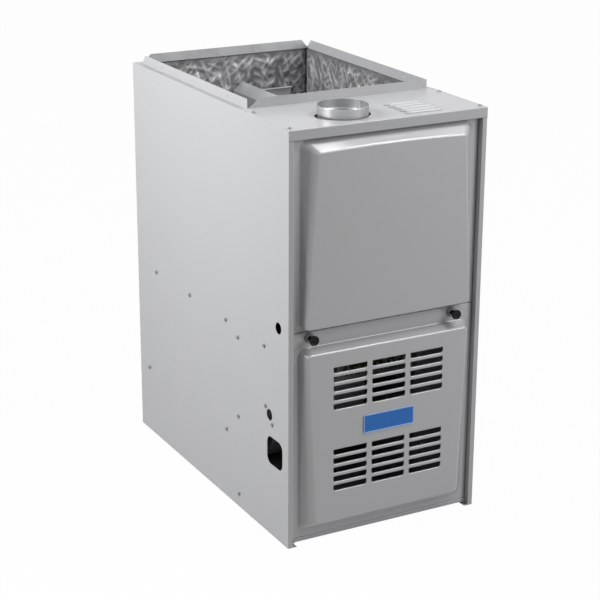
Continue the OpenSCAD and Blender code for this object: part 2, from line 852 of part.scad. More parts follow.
module gas_orifices() {
    color([0.80, 0.65, 0.30]) placed()
    for (i = [0 : tube_count - 1])
        translate([tube_x(i), 0, burner_z])
        difference() {
            union() {
                y_cylinder(3, manifold_y + manifold_r - 4, burner_front + 4, 0, 0);
                translate([0, manifold_y + manifold_r + 0.3, 0]) rotate([-90, 0, 0])
                    cylinder(r = 6.5, h = 8, $fn = 6);
            }
            y_cylinder(0.8, manifold_y, burner_front + 5, 0, 0);
        }
}

valve_left = -150;
valve_right = -68;
valve_front = 27;
valve_low = 432;
inlet_thread_r = 10.3;
valve_knob_x = -96;
valve_knob_z = 455;

module gas_valve() {
    color([0.62, 0.63, 0.64]) placed()
    difference() {
        union() {
            slab([valve_left + 8, valve_front + 11, valve_low],
                 [valve_right, valve_front + 60, valve_top() - 6]);
            x_cylinder(14, valve_left, valve_left + 30, gas_back, gas_z);
            translate([tube_x(0) + 10, manifold_y, valve_top() - 8])
                cylinder(r = 14, h = 8, $fn = round_fn);
            translate([valve_right - 20, valve_front + 44, valve_low + 8])
                cylinder(r = 12, h = valve_top() - valve_low - 8, $fn = round_fn);
            y_cylinder(11, valve_front + 8, valve_front + 12, valve_knob_x, valve_knob_z);
        }
        x_cylinder(inlet_thread_r, valve_left - 1, valve_left + 16, gas_back, gas_z);
        y_cylinder(3 + running_gap, valve_front, valve_front + 22, valve_knob_x, valve_knob_z);
    }
}

// Turning selector on the valve's front, with a flat grip.
module gas_valve_knob() {
    color([0.10, 0.10, 0.11]) placed()
    union() {
        y_cylinder(10, valve_front + 4, valve_front + 7.7, valve_knob_x, valve_knob_z);
        slab([valve_knob_x - 2, valve_front, valve_knob_z - 9],
             [valve_knob_x + 2, valve_front + 5, valve_knob_z + 9]);
        y_cylinder(3, valve_front + 7, valve_front + 20, valve_knob_x, valve_knob_z);
    }
}

module igniter() {
    x = tube_x(tube_count - 1) + 22;
    color([0.85, 0.82, 0.74]) placed()
    union() {
        slab([x - 5, bracket_y + 1.2, burner_z - 20], [x + 5, bracket_y + 26, burner_z - 10]);
        slab([x - 3, bracket_y + 22, burner_z - 17], [x + 3, burner_rear - 4, burner_z - 13]);
        slab([x - 8, bracket_y + 1.2, burner_z - 23], [x + 8, bracket_y + 4, burner_z - 7]);
    }
}

module flame_sensor() {
    x = tube_x(0) - 22;
    color([0.86, 0.86, 0.84]) placed()
    union() {
        y_cylinder(4, bracket_y + 1.2, bracket_y + 20, x, burner_z - 14);
        y_cylinder(1.2, bracket_y + 18, burner_rear - 2, x, burner_z - 14);
        slab([x - 8, bracket_y + 1.2, burner_z - 21], [x + 8, bracket_y + 2.4, burner_z - 7]);
    }
}

rollout_x = 170;
rollout_z = 560;
button_r = 2.5;

// Disc thermostats on the vestibule panel, each with a guide for its reset button.
module rollout_switches() {
    color([0.12, 0.12, 0.13]) placed()
    for (sx = [-1, 1])
        translate([sx * rollout_x, 0, rollout_z])
        difference() {
            union() {
                slab([-18, vest_y - 1.2, -8], [18, vest_y, 8]);
                y_cylinder(8, vest_y - 12, vest_y - 1, 0, 0);
                y_cylinder(5, vest_y - 18, vest_y - 11, 0, 0);
            }
            y_cylinder(button_r + running_gap, vest_y - 19, vest_y - 8, 0, 0);
        }
}

module reset_button(side) {
    color([0.80, 0.10, 0.10]) placed()
    y_cylinder(button_r, vest_y - 22, vest_y - 11, side * rollout_x, rollout_z);
}

module left_reset_button() {
    reset_button(-1);
}

module right_reset_button() {
    reset_button(1);
}

module limit_switch() {
    z = burner_z + 75;
    color([0.30, 0.30, 0.31]) placed()
    union() {
        slab([-22, vest_y - 1.2, z - 9], [22, vest_y, z + 9]);
        y_cylinder(10, vest_y - 16, vest_y - 1, 0, z);
        slab([-6, vest_y - 24, z - 4], [-4.5, vest_y - 15, z + 4]);
        slab([4.5, vest_y - 24, z - 4], [6, vest_y - 15, z + 4]);
    }
}

switch_x = 150;
switch_z = outlet_z - 90;
barb_r = 3;

module pressure_switch() {
    color([0.16, 0.16, 0.17]) placed()
    union() {
        slab([switch_x - 24, vest_y - 1.5, switch_z - 42], [switch_x + 24, vest_y, switch_z + 30]);
        y_cylinder(30, vest_y - 14, vest_y - 1, switch_x, switch_z);
        y_cylinder(27, vest_y - 24, vest_y - 13, switch_x, switch_z);
        y_cylinder(barb_r, vest_y - 40, vest_y - 23, switch_x, switch_z);
    }
}

// Route of the hose from the switch, up and round to the collector box.
hose_start = [switch_x, vest_y - 25, switch_z];
hose_steps = [
    [0, 0, 0], [0, -17, 0], [0, -27, 4], [-2, -35, 12], [-8, -40, 24], [-16, -42, 38],
    [-23, -42, 52], [-29, -41, 65], [-33, -38, 74], [-35, -33, 79], [-35, -26.5, 80]
];
hose_route = [for (step = hose_steps) hose_start + step];
hose_r = 4.6;
hose_sides = 10;

function unit(v) = v / norm(v);

// Ring of points about a route point, square to the route there.
function hose_ring(i, r) =
    let (
        last = len(hose_route) - 1,
        ahead = unit(hose_route[min(i + 1, last)] - hose_route[max(i - 1, 0)]),
        side = unit(cross(ahead, [1, 0.2, 0.1])),
        up = cross(side, ahead)
    )
    [for (k = [0 : hose_sides - 1])
        let (a = 360 * k / hose_sides)
        hose_route[i] + r * (cos(a) * side + sin(a) * up)];

module pressure_hose() {
    rings = len(hose_route);
    points = [for (i = [0 : rings - 1]) each hose_ring(i, hose_r)];
    n = hose_sides;
    walls = [for (i = [0 : rings - 2], k = [0 : n - 1])
        [i * n + k, (i + 1) * n + k, (i + 1) * n + (k + 1) % n, i * n + (k + 1) % n]];
    low_cap = [for (k = [0 : n - 1]) k];
    high_cap = [for (k = [0 : n - 1]) (rings - 1) * n + n - 1 - k];
    color([0.10, 0.10, 0.11]) placed()
    difference() {
        polyhedron(points, concat(walls, [low_cap, high_cap]));
        y_cylinder(barb_r + 0.05, vest_y - 42, vest_y, switch_x, switch_z);
    }
}

// ---------------------------------------------------------------- blower

scroll_min = wheel_r + 10;
scroll_max = wheel_r + 80;
cutoff_angle = 70;

function scroll_radius(a) = scroll_min + (scroll_max - scroll_min) * (a - cutoff_angle) / (360 - cutoff_angle);
function scroll_cutoff_y() = wheel_back + scroll_min * cos(cutoff_angle);
function scroll_rear_y() = wheel_back + scroll_max;

// Spiral casing seen along X: grows from the cut-off round to the rear, then runs up to the deck.
module scroll_outline(grow) {
    top = deck_under - panel_gap - wheel_z;
    translate([wheel_back, wheel_z])
    polygon(concat(
        [for (a = [cutoff_angle : 10 : 360])
            (scroll_radius(a) + grow) * [cos(a), sin(a)]],
        [[scroll_max + grow, top], [scroll_min * cos(cutoff_angle) - grow, top]]
    ));
}

module blower_housing() {
    t = 1;
    color([0.64, 0.65, 0.66]) placed()
    difference() {
        x_profile(-blower_half, blower_half) scroll_outline(t);
        x_profile(-blower_half + t, blower_half - t) scroll_outline(0);
        slab([-blower_half + t, scroll_cutoff_y(), deck_under - 3],
             [blower_half - t, scroll_rear_y(), deck_under + 3]);
        x_cylinder(wheel_r - 20, -blower_half - 1, blower_half + 1, wheel_back, wheel_z);
    }
}

// One forward-curved blade: a thin arc between the wheel's inner and outer radius.
module blade_outline() {
    arc_r = 14;
    span = 100;
    translate([wheel_r - 10.5, 0])
    polygon(concat(
        [for (a = [0 : 20 : span]) [(arc_r + 0.5) * cos(a + 40) - 5, (arc_r + 0.5) * sin(a + 40) - 14]],
        [for (a = [span : -20 : 0]) [(arc_r - 0.5) * cos(a + 40) - 5, (arc_r - 0.5) * sin(a + 40) - 14]]
    ));
}

module wheel_ring(x0, x1, inner) {
    difference() {
        x_cylinder(wheel_r, x0, x1, wheel_back, wheel_z);
        x_cylinder(inner, x0 - 1, x1 + 1, wheel_back, wheel_z);
    }
}

module blower_wheel() {
    half = wheel_w / 2;
    color([0.66, 0.67, 0.68]) placed()
    union() {
        for (i = [0 : blade_count - 1])
            translate([-half + 1, wheel_back, wheel_z]) rotate([90, 0, 90])
            rotate([0, 0, i * 360 / blade_count]) linear_extrude(height = wheel_w - 2) blade_outline();
        wheel_ring(-half, -half + 4, wheel_r - 16);
        wheel_ring(half - 4, half, wheel_r - 16);
        difference() {
            union() {
                x_cylinder(wheel_r - 0.8, 20, 22, wheel_back, wheel_z);
                x_cylinder(18, 12, 42, wheel_back, wheel_z);
            }
            x_cylinder(shaft_r, 10, 44, wheel_back, wheel_z);
        }
    }
}

motor_left = -150;
motor_right = -22;

module blower_motor() {
    color([0.20, 0.20, 0.21]) placed()
    difference() {
        union() {
            x_cylinder(motor_r, motor_left + 12, motor_right - 8, wheel_back, wheel_z);
            x_cylinder(motor_r - 14, motor_left, motor_right, wheel_back, wheel_z);
        }
        x_cylinder(shaft_r + running_gap, motor_left + 10, motor_right + 1, wheel_back, wheel_z);
    }
}

module blower_shaft() {
    color([0.72, 0.72, 0.73]) placed()
    x_cylinder(shaft_r, motor_left + 14, 42, wheel_back, wheel_z);
}

// Belly band round the motor with three arms out to the housing's side plate.
module motor_band() {
    band_x = -blower_half - 16;
    difference() {
        union() {
            x_cylinder(motor_r + 1.5, band_x, -blower_half - 0.3, wheel_back, wheel_z);
            for (a = [90, 210, 330])
                translate([0, wheel_back, wheel_z]) rotate([a, 0, 0])
                slab([-blower_half - 2.3, motor_r, -9], [-blower_half - 0.3, wheel_r - 4, 9]);
        }
        x_cylinder(motor_r, band_x - 1, -blower_half + 1, wheel_back, wheel_z);
    }
}

// Wings that hang the blower's housing on its rails.
module housing_wings() {
    wing_len = 40;
    lap = 14;
    both_sides()
        for (y = [wheel_back - 155, wheel_back + 130])
            slab([-rail_inner - lap, y, rail_z + 10], [-blower_half, y + wing_len, rail_z + 11.2]);
}

module blower_brackets() {
    color([0.55, 0.56, 0.57]) placed() {
        motor_band();
        housing_wings();
    }
}

// ---------------------------------------------------------------- controls

panel_y = post_back - 16;
panel_left = -100;
panel_right = 196;
panel_low = 240;

module control_panel() {
    color([0.70, 0.71, 0.73]) placed()
    union() {
        slab([panel_left, panel_y, panel_low], [panel_right, panel_y + 1.2, deck_under]);
        slab([panel_left, panel_y, deck_under - 1.2], [panel_right, panel_y + 16, deck_under]);
        slab([panel_left, panel_y, panel_low], [panel_left + 1.2, panel_y + 14, deck_under]);
        slab([panel_right - 1.2, panel_y, panel_low], [panel_right, panel_y + 14, deck_under]);
    }
}

module board_standoffs(x, z) {
    y_cylinder(2.5, panel_y - 8, panel_y, x, z);
}

module control_board() {
    left = 20;
    right = 180;
    low = 262;
    high = 392;
    color([0.10, 0.32, 0.16]) placed()
    union() {
        slab([left, panel_y - 9.6, low], [right, panel_y - 8, high]);
        for (x = [left + 8, right - 8], z = [low + 8, high - 8])
            board_standoffs(x, z);
        for (i = [0 : 3])
            slab([left + 14 + i * 36, panel_y - 28, high - 44], [left + 38 + i * 36, panel_y - 9, high - 16]);
        slab([left + 16, panel_y - 22, low + 10], [left + 86, panel_y - 9, low + 22]);
        slab([right - 44, panel_y - 24, low + 30], [right - 20, panel_y - 9, low + 56]);
        for (i = [0 : 4])
            y_cylinder(4, panel_y - 26, panel_y - 9, left + 26 + i * 14, low + 52);
        slab([left + 20, panel_y - 13, low + 66], [left + 62, panel_y - 9, low + 78]);
    }
}

module transformer() {
    x = -50;
    z = 290;
    color([0.35, 0.33, 0.30]) placed()
    union() {
        slab([x - 34, panel_y - 34, z - 18], [x + 34, panel_y - 10, z + 18]);
        slab([x - 22, panel_y - 46, z - 12], [x + 22, panel_y, z + 12]);
        slab([x - 42, panel_y - 1.5, z - 10], [x + 42, panel_y, z + 10]);
    }
}

// Round can in a strap on the control panel.
module run_capacitor() {
    x = -50;
    z = 350;
    color([0.72, 0.73, 0.74]) placed()
    union() {
        x_cylinder(20, x - 36, x + 36, panel_y - 22, z);
        slab([x - 8, panel_y - 43, z - 21], [x + 8, panel_y - 22, z + 21]);
        slab([x - 8, panel_y - 22, z - 30], [x + 8, panel_y, z + 30]);
    }
}

plunger_x = 60;
plunger_r = 3.5;
plunger_front = door_back + panel_gap;
plunger_travel = 2.5;

module door_switch() {
    back = rail_y + sheet;
    color([0.12, 0.12, 0.13]) placed()
    difference() {
        union() {
            slab([plunger_x - 16, back, knob_z - 9], [plunger_x + 16, back + 28, knob_z + 9]);
            slab([plunger_x - 12, back + 28, knob_z - 2], [plunger_x - 10.5, back + 36, knob_z + 2]);
            slab([plunger_x + 10.5, back + 28, knob_z - 2], [plunger_x + 12, back + 36, knob_z + 2]);
        }
        y_cylinder(plunger_r + running_gap, back - 1, back + 22, plunger_x, knob_z);
    }
}

module door_switch_plunger() {
    color([0.88, 0.88, 0.86]) placed()
    y_cylinder(plunger_r, plunger_front, rail_y + sheet + 22 - plunger_travel - 0.5, plunger_x, knob_z);
}

jbox_front = wire_back - 27;
jbox_rear = wire_back + 27;
jbox_depth = 45;
jbox_low = wire_z - 30;
jbox_high = wire_z + 30;

// Open box against the left wall, round the line voltage hole.
module junction_box() {
    t = 1;
    color([0.68, 0.69, 0.70]) placed()
    difference() {
        slab([-in_x, jbox_front, jbox_low], [-in_x + jbox_depth, jbox_rear, jbox_high]);
        slab([-in_x - 1, jbox_front - 1, jbox_low + t],
             [-in_x + jbox_depth - t, jbox_rear - t, jbox_high - t]);
    }
}

module junction_box_cover() {
    color([0.70, 0.71, 0.72]) placed()
    union() {
        slab([-in_x, jbox_front - 1, jbox_low], [-in_x + jbox_depth, jbox_front, jbox_high]);
        slab([-in_x + jbox_depth, jbox_front - 1, jbox_low],
             [-in_x + jbox_depth + 1, jbox_front + 10, jbox_high]);
    }
}

// ---------------------------------------------------------------- doors

// Flat door flange with its edges folded back.
module door_pan(low, high) {
    difference() {
        slab([-door_half, door_setback, low], [door_half, door_setback + door_fold, high]);
        slab([-door_half + door_sheet, door_back, low + door_sheet],
             [door_half - door_sheet, door_setback + door_fold + 1, high - door_sheet]);
    }
}

// Thin plate with round corners that leans from depth y_low at its foot to y_high at its top.
module door_plate(low, high, half_low, half_high, y_low, y_high, r) {
    lean = (y_high - y_low) / (high - low);
    for (sx = [-1, 1]) {
        leaning_disc(r, sx * (half_low - r), low + r, y_low + r * lean, lean);
        leaning_disc(r, sx * (half_high - r), high - r, y_high - r * lean, lean);
    }
}

// Coarse thin disc, its front face at depth y.
module leaning_disc(r, x, z, y, lean) {
    translate([x, y, z]) rotate([-90 - atan(lean), 0, 0]) cylinder(r = r, h = 0.2, $fn = hull_fn);
}

// Raised field of the upper door, shrunk by inset on every side.
module upper_bulge(inset) {
    hull() {
        door_plate(upper_bottom + 3 + inset, upper_top - 4 - inset, door_half - 17 - inset,
                   door_half - 17 - inset, door_back - 0.2 + inset / 10, door_back - 0.2 + inset / 10, 22 - inset);
        door_plate(upper_bottom + 9 + inset, upper_top - 24.5 - inset, door_half - 21 - inset,
                   door_half - 43.5 - inset, -upper_proud_bottom + inset, -upper_proud_top + inset, 16 - inset);
    }
}

// Raised field of the lower door, shrunk by inset on every side.
module lower_bulge(inset) {
    hull() {
        door_plate(lower_bottom + 17 + inset, lower_top - 33 - inset, door_half - 15 - inset,
                   door_half - 13 - inset, door_back - 0.2 + inset / 10, door_back - 0.2 + inset / 10, 22 - inset);
        door_plate(lower_bottom + 36 + inset, lower_top - 42.5 - inset, door_half - 41 - inset,
                   door_half - 24 - inset, -lower_proud_bottom + inset, -lower_proud_top + inset, 16 - inset);
    }
}

module upper_door() {
    color([0.64, 0.65, 0.68]) placed()
    difference() {
        union() {
            door_pan(upper_bottom, upper_top);
            upper_bulge(0);
        }
        upper_bulge(door_sheet);
    }
}

face_low = lower_bottom + 36;
face_high = lower_top - 42.5;
face_lean = atan((lower_proud_bottom - lower_proud_top) / (face_high - face_low));
slot_bottom_r = 5.5;

// Places children on the lower door's leaning face, y = 0 on its outer surface, at height z.
module on_lower_face(x, z) {
    translate([x, -lower_proud_bottom + (z - face_low) * tan(face_lean), z])
        rotate([-face_lean, 0, 0]) children();
}

// Louvre slot hanging from z = 0: square corners above, round corners below.
module slot_outline() {
    union() {
        translate([-slot_w / 2, -slot_h + slot_bottom_r]) square([slot_w, slot_h - slot_bottom_r]);
        translate([-slot_w / 2 + slot_bottom_r, -slot_h]) square([slot_w - 2 * slot_bottom_r, slot_h]);
        for (sx = [-1, 1])
            translate([sx * (slot_w / 2 - slot_bottom_r), -slot_h + slot_bottom_r])
                circle(r = slot_bottom_r, $fn = round_fn);
    }
}

// Blade that hangs from a slot's top edge and curls inwards, its top and ends let into the sheet.
module louvre_blade() {
    r = slot_h - 1.5;
    let_in = 0.3;
    x_profile(-slot_w / 2 - let_in, slot_w / 2 + let_in)
    intersection() {
        translate([r + 0.1, 0]) difference() {
            circle(r = r, $fn = round_fn);
            circle(r = r - door_sheet * 0.7, $fn = round_fn);
        }
        translate([-1, -slot_h]) square([r * 0.75, slot_h + let_in]);
    }
}

// Children at the top centre of every louvre slot.
module each_slot() {
    for (group = [upper_slots_top, lower_slots_top], row = [0 : slot_rows - 1], column = [-1 : 1])
        on_lower_face(column * slot_column_pitch, group - row * slot_pitch) children();
}

module lower_door() {
    color([0.64, 0.65, 0.68]) placed()
    union() {
        difference() {
            union() {
                door_pan(lower_bottom, lower_top);
                lower_bulge(0);
            }
            lower_bulge(door_sheet);
            each_slot() y_profile(-3, 3) slot_outline();
            for (sx = [-1, 1])
                y_cylinder(knob_screw_r + 1, door_setback - 1, door_back + 1,
                           sx * knob_x - knob_left, knob_z);
        }
        each_slot() louvre_blade();
        for (sx = [-1, 1])
            y_cylinder(7, door_setback - 2, door_setback, sx * (door_half - 9), lower_top - 40);
    }
}

badge_t = 1.6;

module badge_plate() {
    color([0.18, 0.43, 0.75]) placed()
    on_lower_face(0, badge_z) {
        y_profile(-badge_t, 0) rounded_rect(badge_w, badge_h, 4);
        difference() {
            y_profile(-badge_t - 0.5, -badge_t) rounded_rect(badge_w, badge_h, 4);
            y_profile(-badge_t - 1, -badge_t + 1) rounded_rect(badge_w - 4, badge_h - 4, 3);
        }
    }
}

// Door knob: dished head, narrow neck and the screw that reaches the clip nut.
module knob(side) {
    neck_front = -knob_proud + 12;
    color([0.08, 0.08, 0.09]) placed()
    translate([side * knob_x - knob_left, 0, knob_z])
    union() {
        difference() {
            y_cylinder(knob_r, -knob_proud, neck_front, 0, 0);
            y_cylinder(knob_r - 2.5, -knob_proud - 1, -knob_proud + 1.6, 0, 0);
        }
        y_cylinder(knob_r - 5.5, -knob_proud + 1, -knob_proud + 2.6, 0, 0);
        y_cylinder(knob_r - 3.2, neck_front - 1, door_setback - 5 - panel_gap, 0, 0);
        y_cylinder(knob_screw_r, neck_front, rail_y + sheet + 9, 0, 0);
    }
}

module left_knob() {
    knob(-1);
}

module right_knob() {
    knob(1);
}

// Stepped grey washers between the knobs and the door.
module knob_retainers() {
    color([0.42, 0.42, 0.43]) placed()
    for (sx = [-1, 1])
        translate([sx * knob_x - knob_left, 0, knob_z])
        difference() {
            union() {
                y_cylinder(knob_r, door_setback - 2.5, door_setback, 0, 0);
                y_cylinder(knob_r - 1.8, door_setback - 5, door_setback - 2, 0, 0);
            }
            y_cylinder(knob_screw_r + running_gap, -5, door_setback + 1, 0, 0);
        }
}

module clip_nuts() {
    back = rail_y + sheet;
    color([0.35, 0.36, 0.37]) placed()
    for (sx = [-1, 1])
        translate([sx * knob_x - knob_left, 0, knob_z])
        difference() {
            union() {
                slab([-9, back, -9], [9, back + 1.5, 9]);
                y_cylinder(5.5, back, back + 7, 0, 0);
            }
            y_cylinder(knob_screw_r + running_gap, back - 1, back + 8, 0, 0);
        }
}

// ---------------------------------------------------------------- screws

// Places of the screws in a side panel: [behind the front plane, above the floor].
deck_screw_z = deck_z - deck_flange / 2 - 0.5;
side_screw_places = [
    [103, deck_screw_z], [277.5, deck_screw_z], [455, deck_screw_z], [cab_d - 104, deck_screw_z],
    [post_back, 30], [post_back, 208], [post_back, post_top() - 11],
    [post_back + 57, rail_z], [cab_d - 52, rail_z],
    [wire_back + 16.5, wire_z + 13.4], [wire_back - 12, wire_z - 17.6]
];

module side_screws() {
    color([0.70, 0.71, 0.73]) placed()
    both_sides()
        for (p = side_screw_places)
            translate([-half_w, p[0], p[1]]) rotate([0, -90, 0]) hex_head();
}

// Screws in the top plate, the base rail and the back panel.
module cabinet_screws() {
    top_x = half_w - 9;
    color([0.70, 0.71, 0.73]) placed() {
        for (sx = [-1, 1], back = [15, top_depth - 39])
            translate([sx * top_x, back, cab_h]) hex_head();
        for (sx = [-1, 1])
            translate([sx * (door_half - 5), door_setback - 1, base_rail_low + 2.3]) rotate([90, 0, 0])
                scale(0.7) hex_head();
        for (sx = [-1, 1], z = [60 : (cab_h - 140) / 4 : cab_h - 70])
            translate([sx * (half_w - edge_fold / 2), cab_d, z]) rotate([-90, 0, 0]) hex_head();
    }
}

left_side_panel();
right_side_panel();
back_panel();
top_panel();
vestibule_panel();
blower_deck();
centre_rail();
base_rail();
bottom_closure_panel();
partition_posts();
blower_rails();
left_insulation();
right_insulation();
rear_insulation();
centre_air_baffle();
cross_air_baffle();
heat_exchanger_tubes();
collector_box();
inducer_gasket();
inducer_housing();
inducer_wheel();
inducer_motor();
vent_transition();
vent_collar();
burners();
burner_bracket();
gas_manifold();
gas_orifices();
gas_valve();
gas_valve_knob();
igniter();
flame_sensor();
rollout_switches();
left_reset_button();
right_reset_button();
limit_switch();
pressure_switch();
pressure_hose();
blower_housing();
blower_wheel();
blower_motor();
blower_shaft();
blower_brackets();
run_capacitor();
control_panel();
control_board();
transformer();
door_switch();
door_switch_plunger();
junction_box();
junction_box_cover();
upper_door();
lower_door();
badge_plate();
left_knob();
right_knob();
knob_retainers();
clip_nuts();
side_screws();
cabinet_screws();
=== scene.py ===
"""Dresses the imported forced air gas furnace: doors, panels, foil, metal finishes, camera and light.

Sizes are in millimetres with y = 0 on the cabinet's front plane, as the part's own source has them,
and to_row() moves them to the row frame's metres.
"""

import json
import logging
import math
from dataclasses import dataclass, field
from enum import Enum, auto
from typing import ClassVar, Iterator, Optional

import bmesh
import bpy
import numpy as np
from bpy.types import ID, Material, Mesh, Node, NodeOutputs, NodeSocket, NodeTree, Object, World
from mathutils import Matrix, Vector
from mathutils.geometry import delaunay_2d_cdt


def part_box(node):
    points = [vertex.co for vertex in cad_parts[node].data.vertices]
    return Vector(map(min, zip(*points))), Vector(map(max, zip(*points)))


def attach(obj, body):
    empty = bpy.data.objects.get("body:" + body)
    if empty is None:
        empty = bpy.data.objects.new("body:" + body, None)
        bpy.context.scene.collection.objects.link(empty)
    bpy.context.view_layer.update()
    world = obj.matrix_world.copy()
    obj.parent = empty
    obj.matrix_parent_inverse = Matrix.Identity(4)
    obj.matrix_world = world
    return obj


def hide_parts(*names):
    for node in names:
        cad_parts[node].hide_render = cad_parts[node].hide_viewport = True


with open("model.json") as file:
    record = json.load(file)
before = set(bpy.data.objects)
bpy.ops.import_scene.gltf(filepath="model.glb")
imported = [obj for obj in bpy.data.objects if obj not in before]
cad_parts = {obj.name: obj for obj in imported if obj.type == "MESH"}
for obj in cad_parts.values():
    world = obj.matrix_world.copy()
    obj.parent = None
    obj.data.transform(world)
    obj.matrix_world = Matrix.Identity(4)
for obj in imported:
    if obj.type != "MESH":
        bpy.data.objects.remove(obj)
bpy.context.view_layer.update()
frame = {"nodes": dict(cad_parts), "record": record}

Array = np.ndarray
Triple = tuple[float, float, float]
Feeds = dict[object, object]
log = logging.getLogger("furnace")

MM = 0.001
FRONT_Y = -361.5
PLATE_Z = 864.0
DOOR_SETBACK = 12.0
DOOR_HALF = 209.75
DOOR_FOLD = 9.0
SHEET = 0.9
MERGE = 2e-6
BOW = 0.01


def linked(name: str, data: ID) -> Object:
    """Makes an object and links it to the scene.

    Args:
        name: the object's name.
        data: its mesh, lamp or camera.

    Returns:
        The new object.
    """
    item = bpy.data.objects.new(name, data)
    bpy.context.scene.collection.objects.link(item)
    return item


# ---- node trees


class Nodes:
    """Adds and joins nodes in one shader tree."""

    ROW, STEP_X, STEP_Y = 9, 190, 260

    def __init__(self, tree: NodeTree) -> None:
        """Keeps the tree and the number of nodes in it."""
        self.tree = tree
        self.placed = 0

    @classmethod
    def emptied(cls, owner: Material | World) -> "Nodes":
        """Empties a shader tree.

        Args:
            owner: the material or world that has it.

        Returns:
            The adder for the tree.
        """
        owner.use_nodes = True
        owner.node_tree.nodes.clear()
        return cls(owner.node_tree)

    def add(self, kind: str, feeds: Optional[Feeds] = None, **settings: object) -> Node:
        """Adds a node.

        Args:
            kind: Blender's name for the node type.
            feeds: a socket, number, vector or colour for each input, by its name or number.
            settings: attributes to set on the node first.

        Returns:
            The new node.
        """
        node = self.tree.nodes.new(kind)
        row, column = divmod(self.placed, self.ROW)
        node.location = (self.STEP_X * column, -self.STEP_Y * row)
        self.placed += 1
        for name, value in settings.items():
            setattr(node, name, value)
        for key, value in (feeds or {}).items():
            socket = node.inputs[key]
            if isinstance(value, NodeSocket):
                self.tree.links.new(value, socket)
            else:
                socket.default_value = (*value, 1.0) if socket.type == "RGBA" else value
        return node

    def math(self, operation: str, *terms: object) -> NodeSocket:
        """A Math node's output, from sockets or numbers."""
        return self.add("ShaderNodeMath", dict(enumerate(terms)), operation=operation).outputs[0]

    def spread(self, value: NodeSocket, low: float, high: float,
               out_low: object = 0.0, out_high: object = 1.0) -> NodeSocket:
        """A value mapped from low and high to out_low and out_high, clamped."""
        feeds = dict(enumerate((value, low, high, out_low, out_high)))
        return self.add("ShaderNodeMapRange", feeds).outputs["Result"]

    def noise(self, vector: NodeSocket, scale: object, detail: float,
              rough: float = 0.5) -> NodeSocket:
        """Noise from 0 to 1, with detail octaves that each keep rough of the one before."""
        feeds = {"Vector": vector, "Scale": scale, "Detail": detail, "Roughness": rough}
        return self.add("ShaderNodeTexNoise", feeds).outputs["Fac"]

    def blend(self, factor: object, first: object, second: object) -> NodeSocket:
        """The first colour at factor 0 and the second at 1."""
        feeds = {0: factor, 6: first, 7: second}
        return self.add("ShaderNodeMix", feeds, data_type="RGBA").outputs[2]


class EffectGroup:
    """A shader node group, built once and used by many finishes.

    An input's default tells its kind: None for a vector, a number, or a colour. Every output is a
    number but for "Colour".
    """

    title: ClassVar[str]
    inputs: ClassVar[dict[str, object]]
    outputs: ClassVar[tuple[str, ...]]
    KINDS: ClassVar = {
        type(None): "NodeSocketVector", tuple: "NodeSocketColor", float: "NodeSocketFloat"}

    @classmethod
    def tree(cls) -> NodeTree:
        """Builds the group the first time it is asked for.

        Returns:
            The group's node tree.
        """
        group = bpy.data.node_groups.get(cls.title)
        if group:
            return group
        group = bpy.data.node_groups.new(cls.title, "ShaderNodeTree")
        for name, default in cls.inputs.items():
            kind = cls.KINDS[type(default)]
            socket = group.interface.new_socket(name=name, in_out="INPUT", socket_type=kind)
            if default is not None:
                socket.default_value = default
        for name in cls.outputs:
            kind = cls.KINDS[tuple if name == "Colour" else float]
            group.interface.new_socket(name=name, in_out="OUTPUT", socket_type=kind)
        nodes = Nodes(group)
        nodes.add("NodeGroupOutput", cls.wire(nodes, nodes.add("NodeGroupInput").outputs))
        return group

    @classmethod
    def wire(cls, nodes: Nodes, given: NodeOutputs) -> Feeds:
        """Joins the group's inner nodes, and says which socket each of its outputs takes."""
        raise NotImplementedError

    @classmethod
    def place(cls, nodes: Nodes, **feeds: object) -> NodeOutputs:
        """The outputs of the group, placed among a material's nodes with these inputs."""
        return nodes.add("ShaderNodeGroup", feeds, node_tree=cls.tree()).outputs


class ColourDrift(EffectGroup):
    """A colour that drifts slowly lighter and darker over the surface, with a finer mottle."""

    title = "colour_drift"
    inputs = {"Vector": None, "Colour": (0.5, 0.5, 0.5, 1.0), "Scale": 8.0, "Amount": 0.04}
    outputs = ("Colour",)

    @classmethod
    def wire(cls, nodes: Nodes, given: NodeOutputs) -> Feeds:
        """Colour times 1 + Amount (2 wide + 0.7 fine - 1.35), fine being six times as close.

        Args:
            nodes: the group's node adder.
            given: the group's inputs.

        Returns:
            What each of its outputs takes.
        """
        wide = nodes.noise(given["Vector"], given["Scale"], 3.0)
        fine = nodes.noise(given["Vector"], nodes.math("MULTIPLY", given["Scale"], 6.0), 2.0)
        wide, fine = nodes.math("MULTIPLY", wide, 2.0), nodes.math("MULTIPLY", fine, 0.7)
        both = nodes.math("ADD", wide, fine)
        swing = nodes.math("MULTIPLY", nodes.math("SUBTRACT", both, 1.35), given["Amount"])
        feeds = {0: given["Colour"], "Scale": nodes.math("ADD", swing, 1.0)}
        return {"Colour": nodes.add("ShaderNodeVectorMath", feeds, operation="SCALE").outputs[0]}


class FineGrain(EffectGroup):
    """The close grain of paint, castings or moulded plastic, as a height."""

    title = "fine_grain"
    inputs = {"Vector": None, "Scale": 900.0, "Waviness": 0.3}
    outputs = ("Height",)

    @classmethod
    def wire(cls, nodes: Nodes, given: NodeOutputs) -> Feeds:
        """Height = fine noise plus Waviness times a noise eight times wider.

        Args:
            nodes: the group's node adder.
            given: the group's inputs.

        Returns:
            What each of its outputs takes.
        """
        fine = nodes.noise(given["Vector"], given["Scale"], 4.0, 0.6)
        wide = nodes.noise(given["Vector"], nodes.math("MULTIPLY", given["Scale"], 0.125), 1.0)
        return {"Height": nodes.math("ADD", fine, nodes.math("MULTIPLY", wide, given["Waviness"]))}


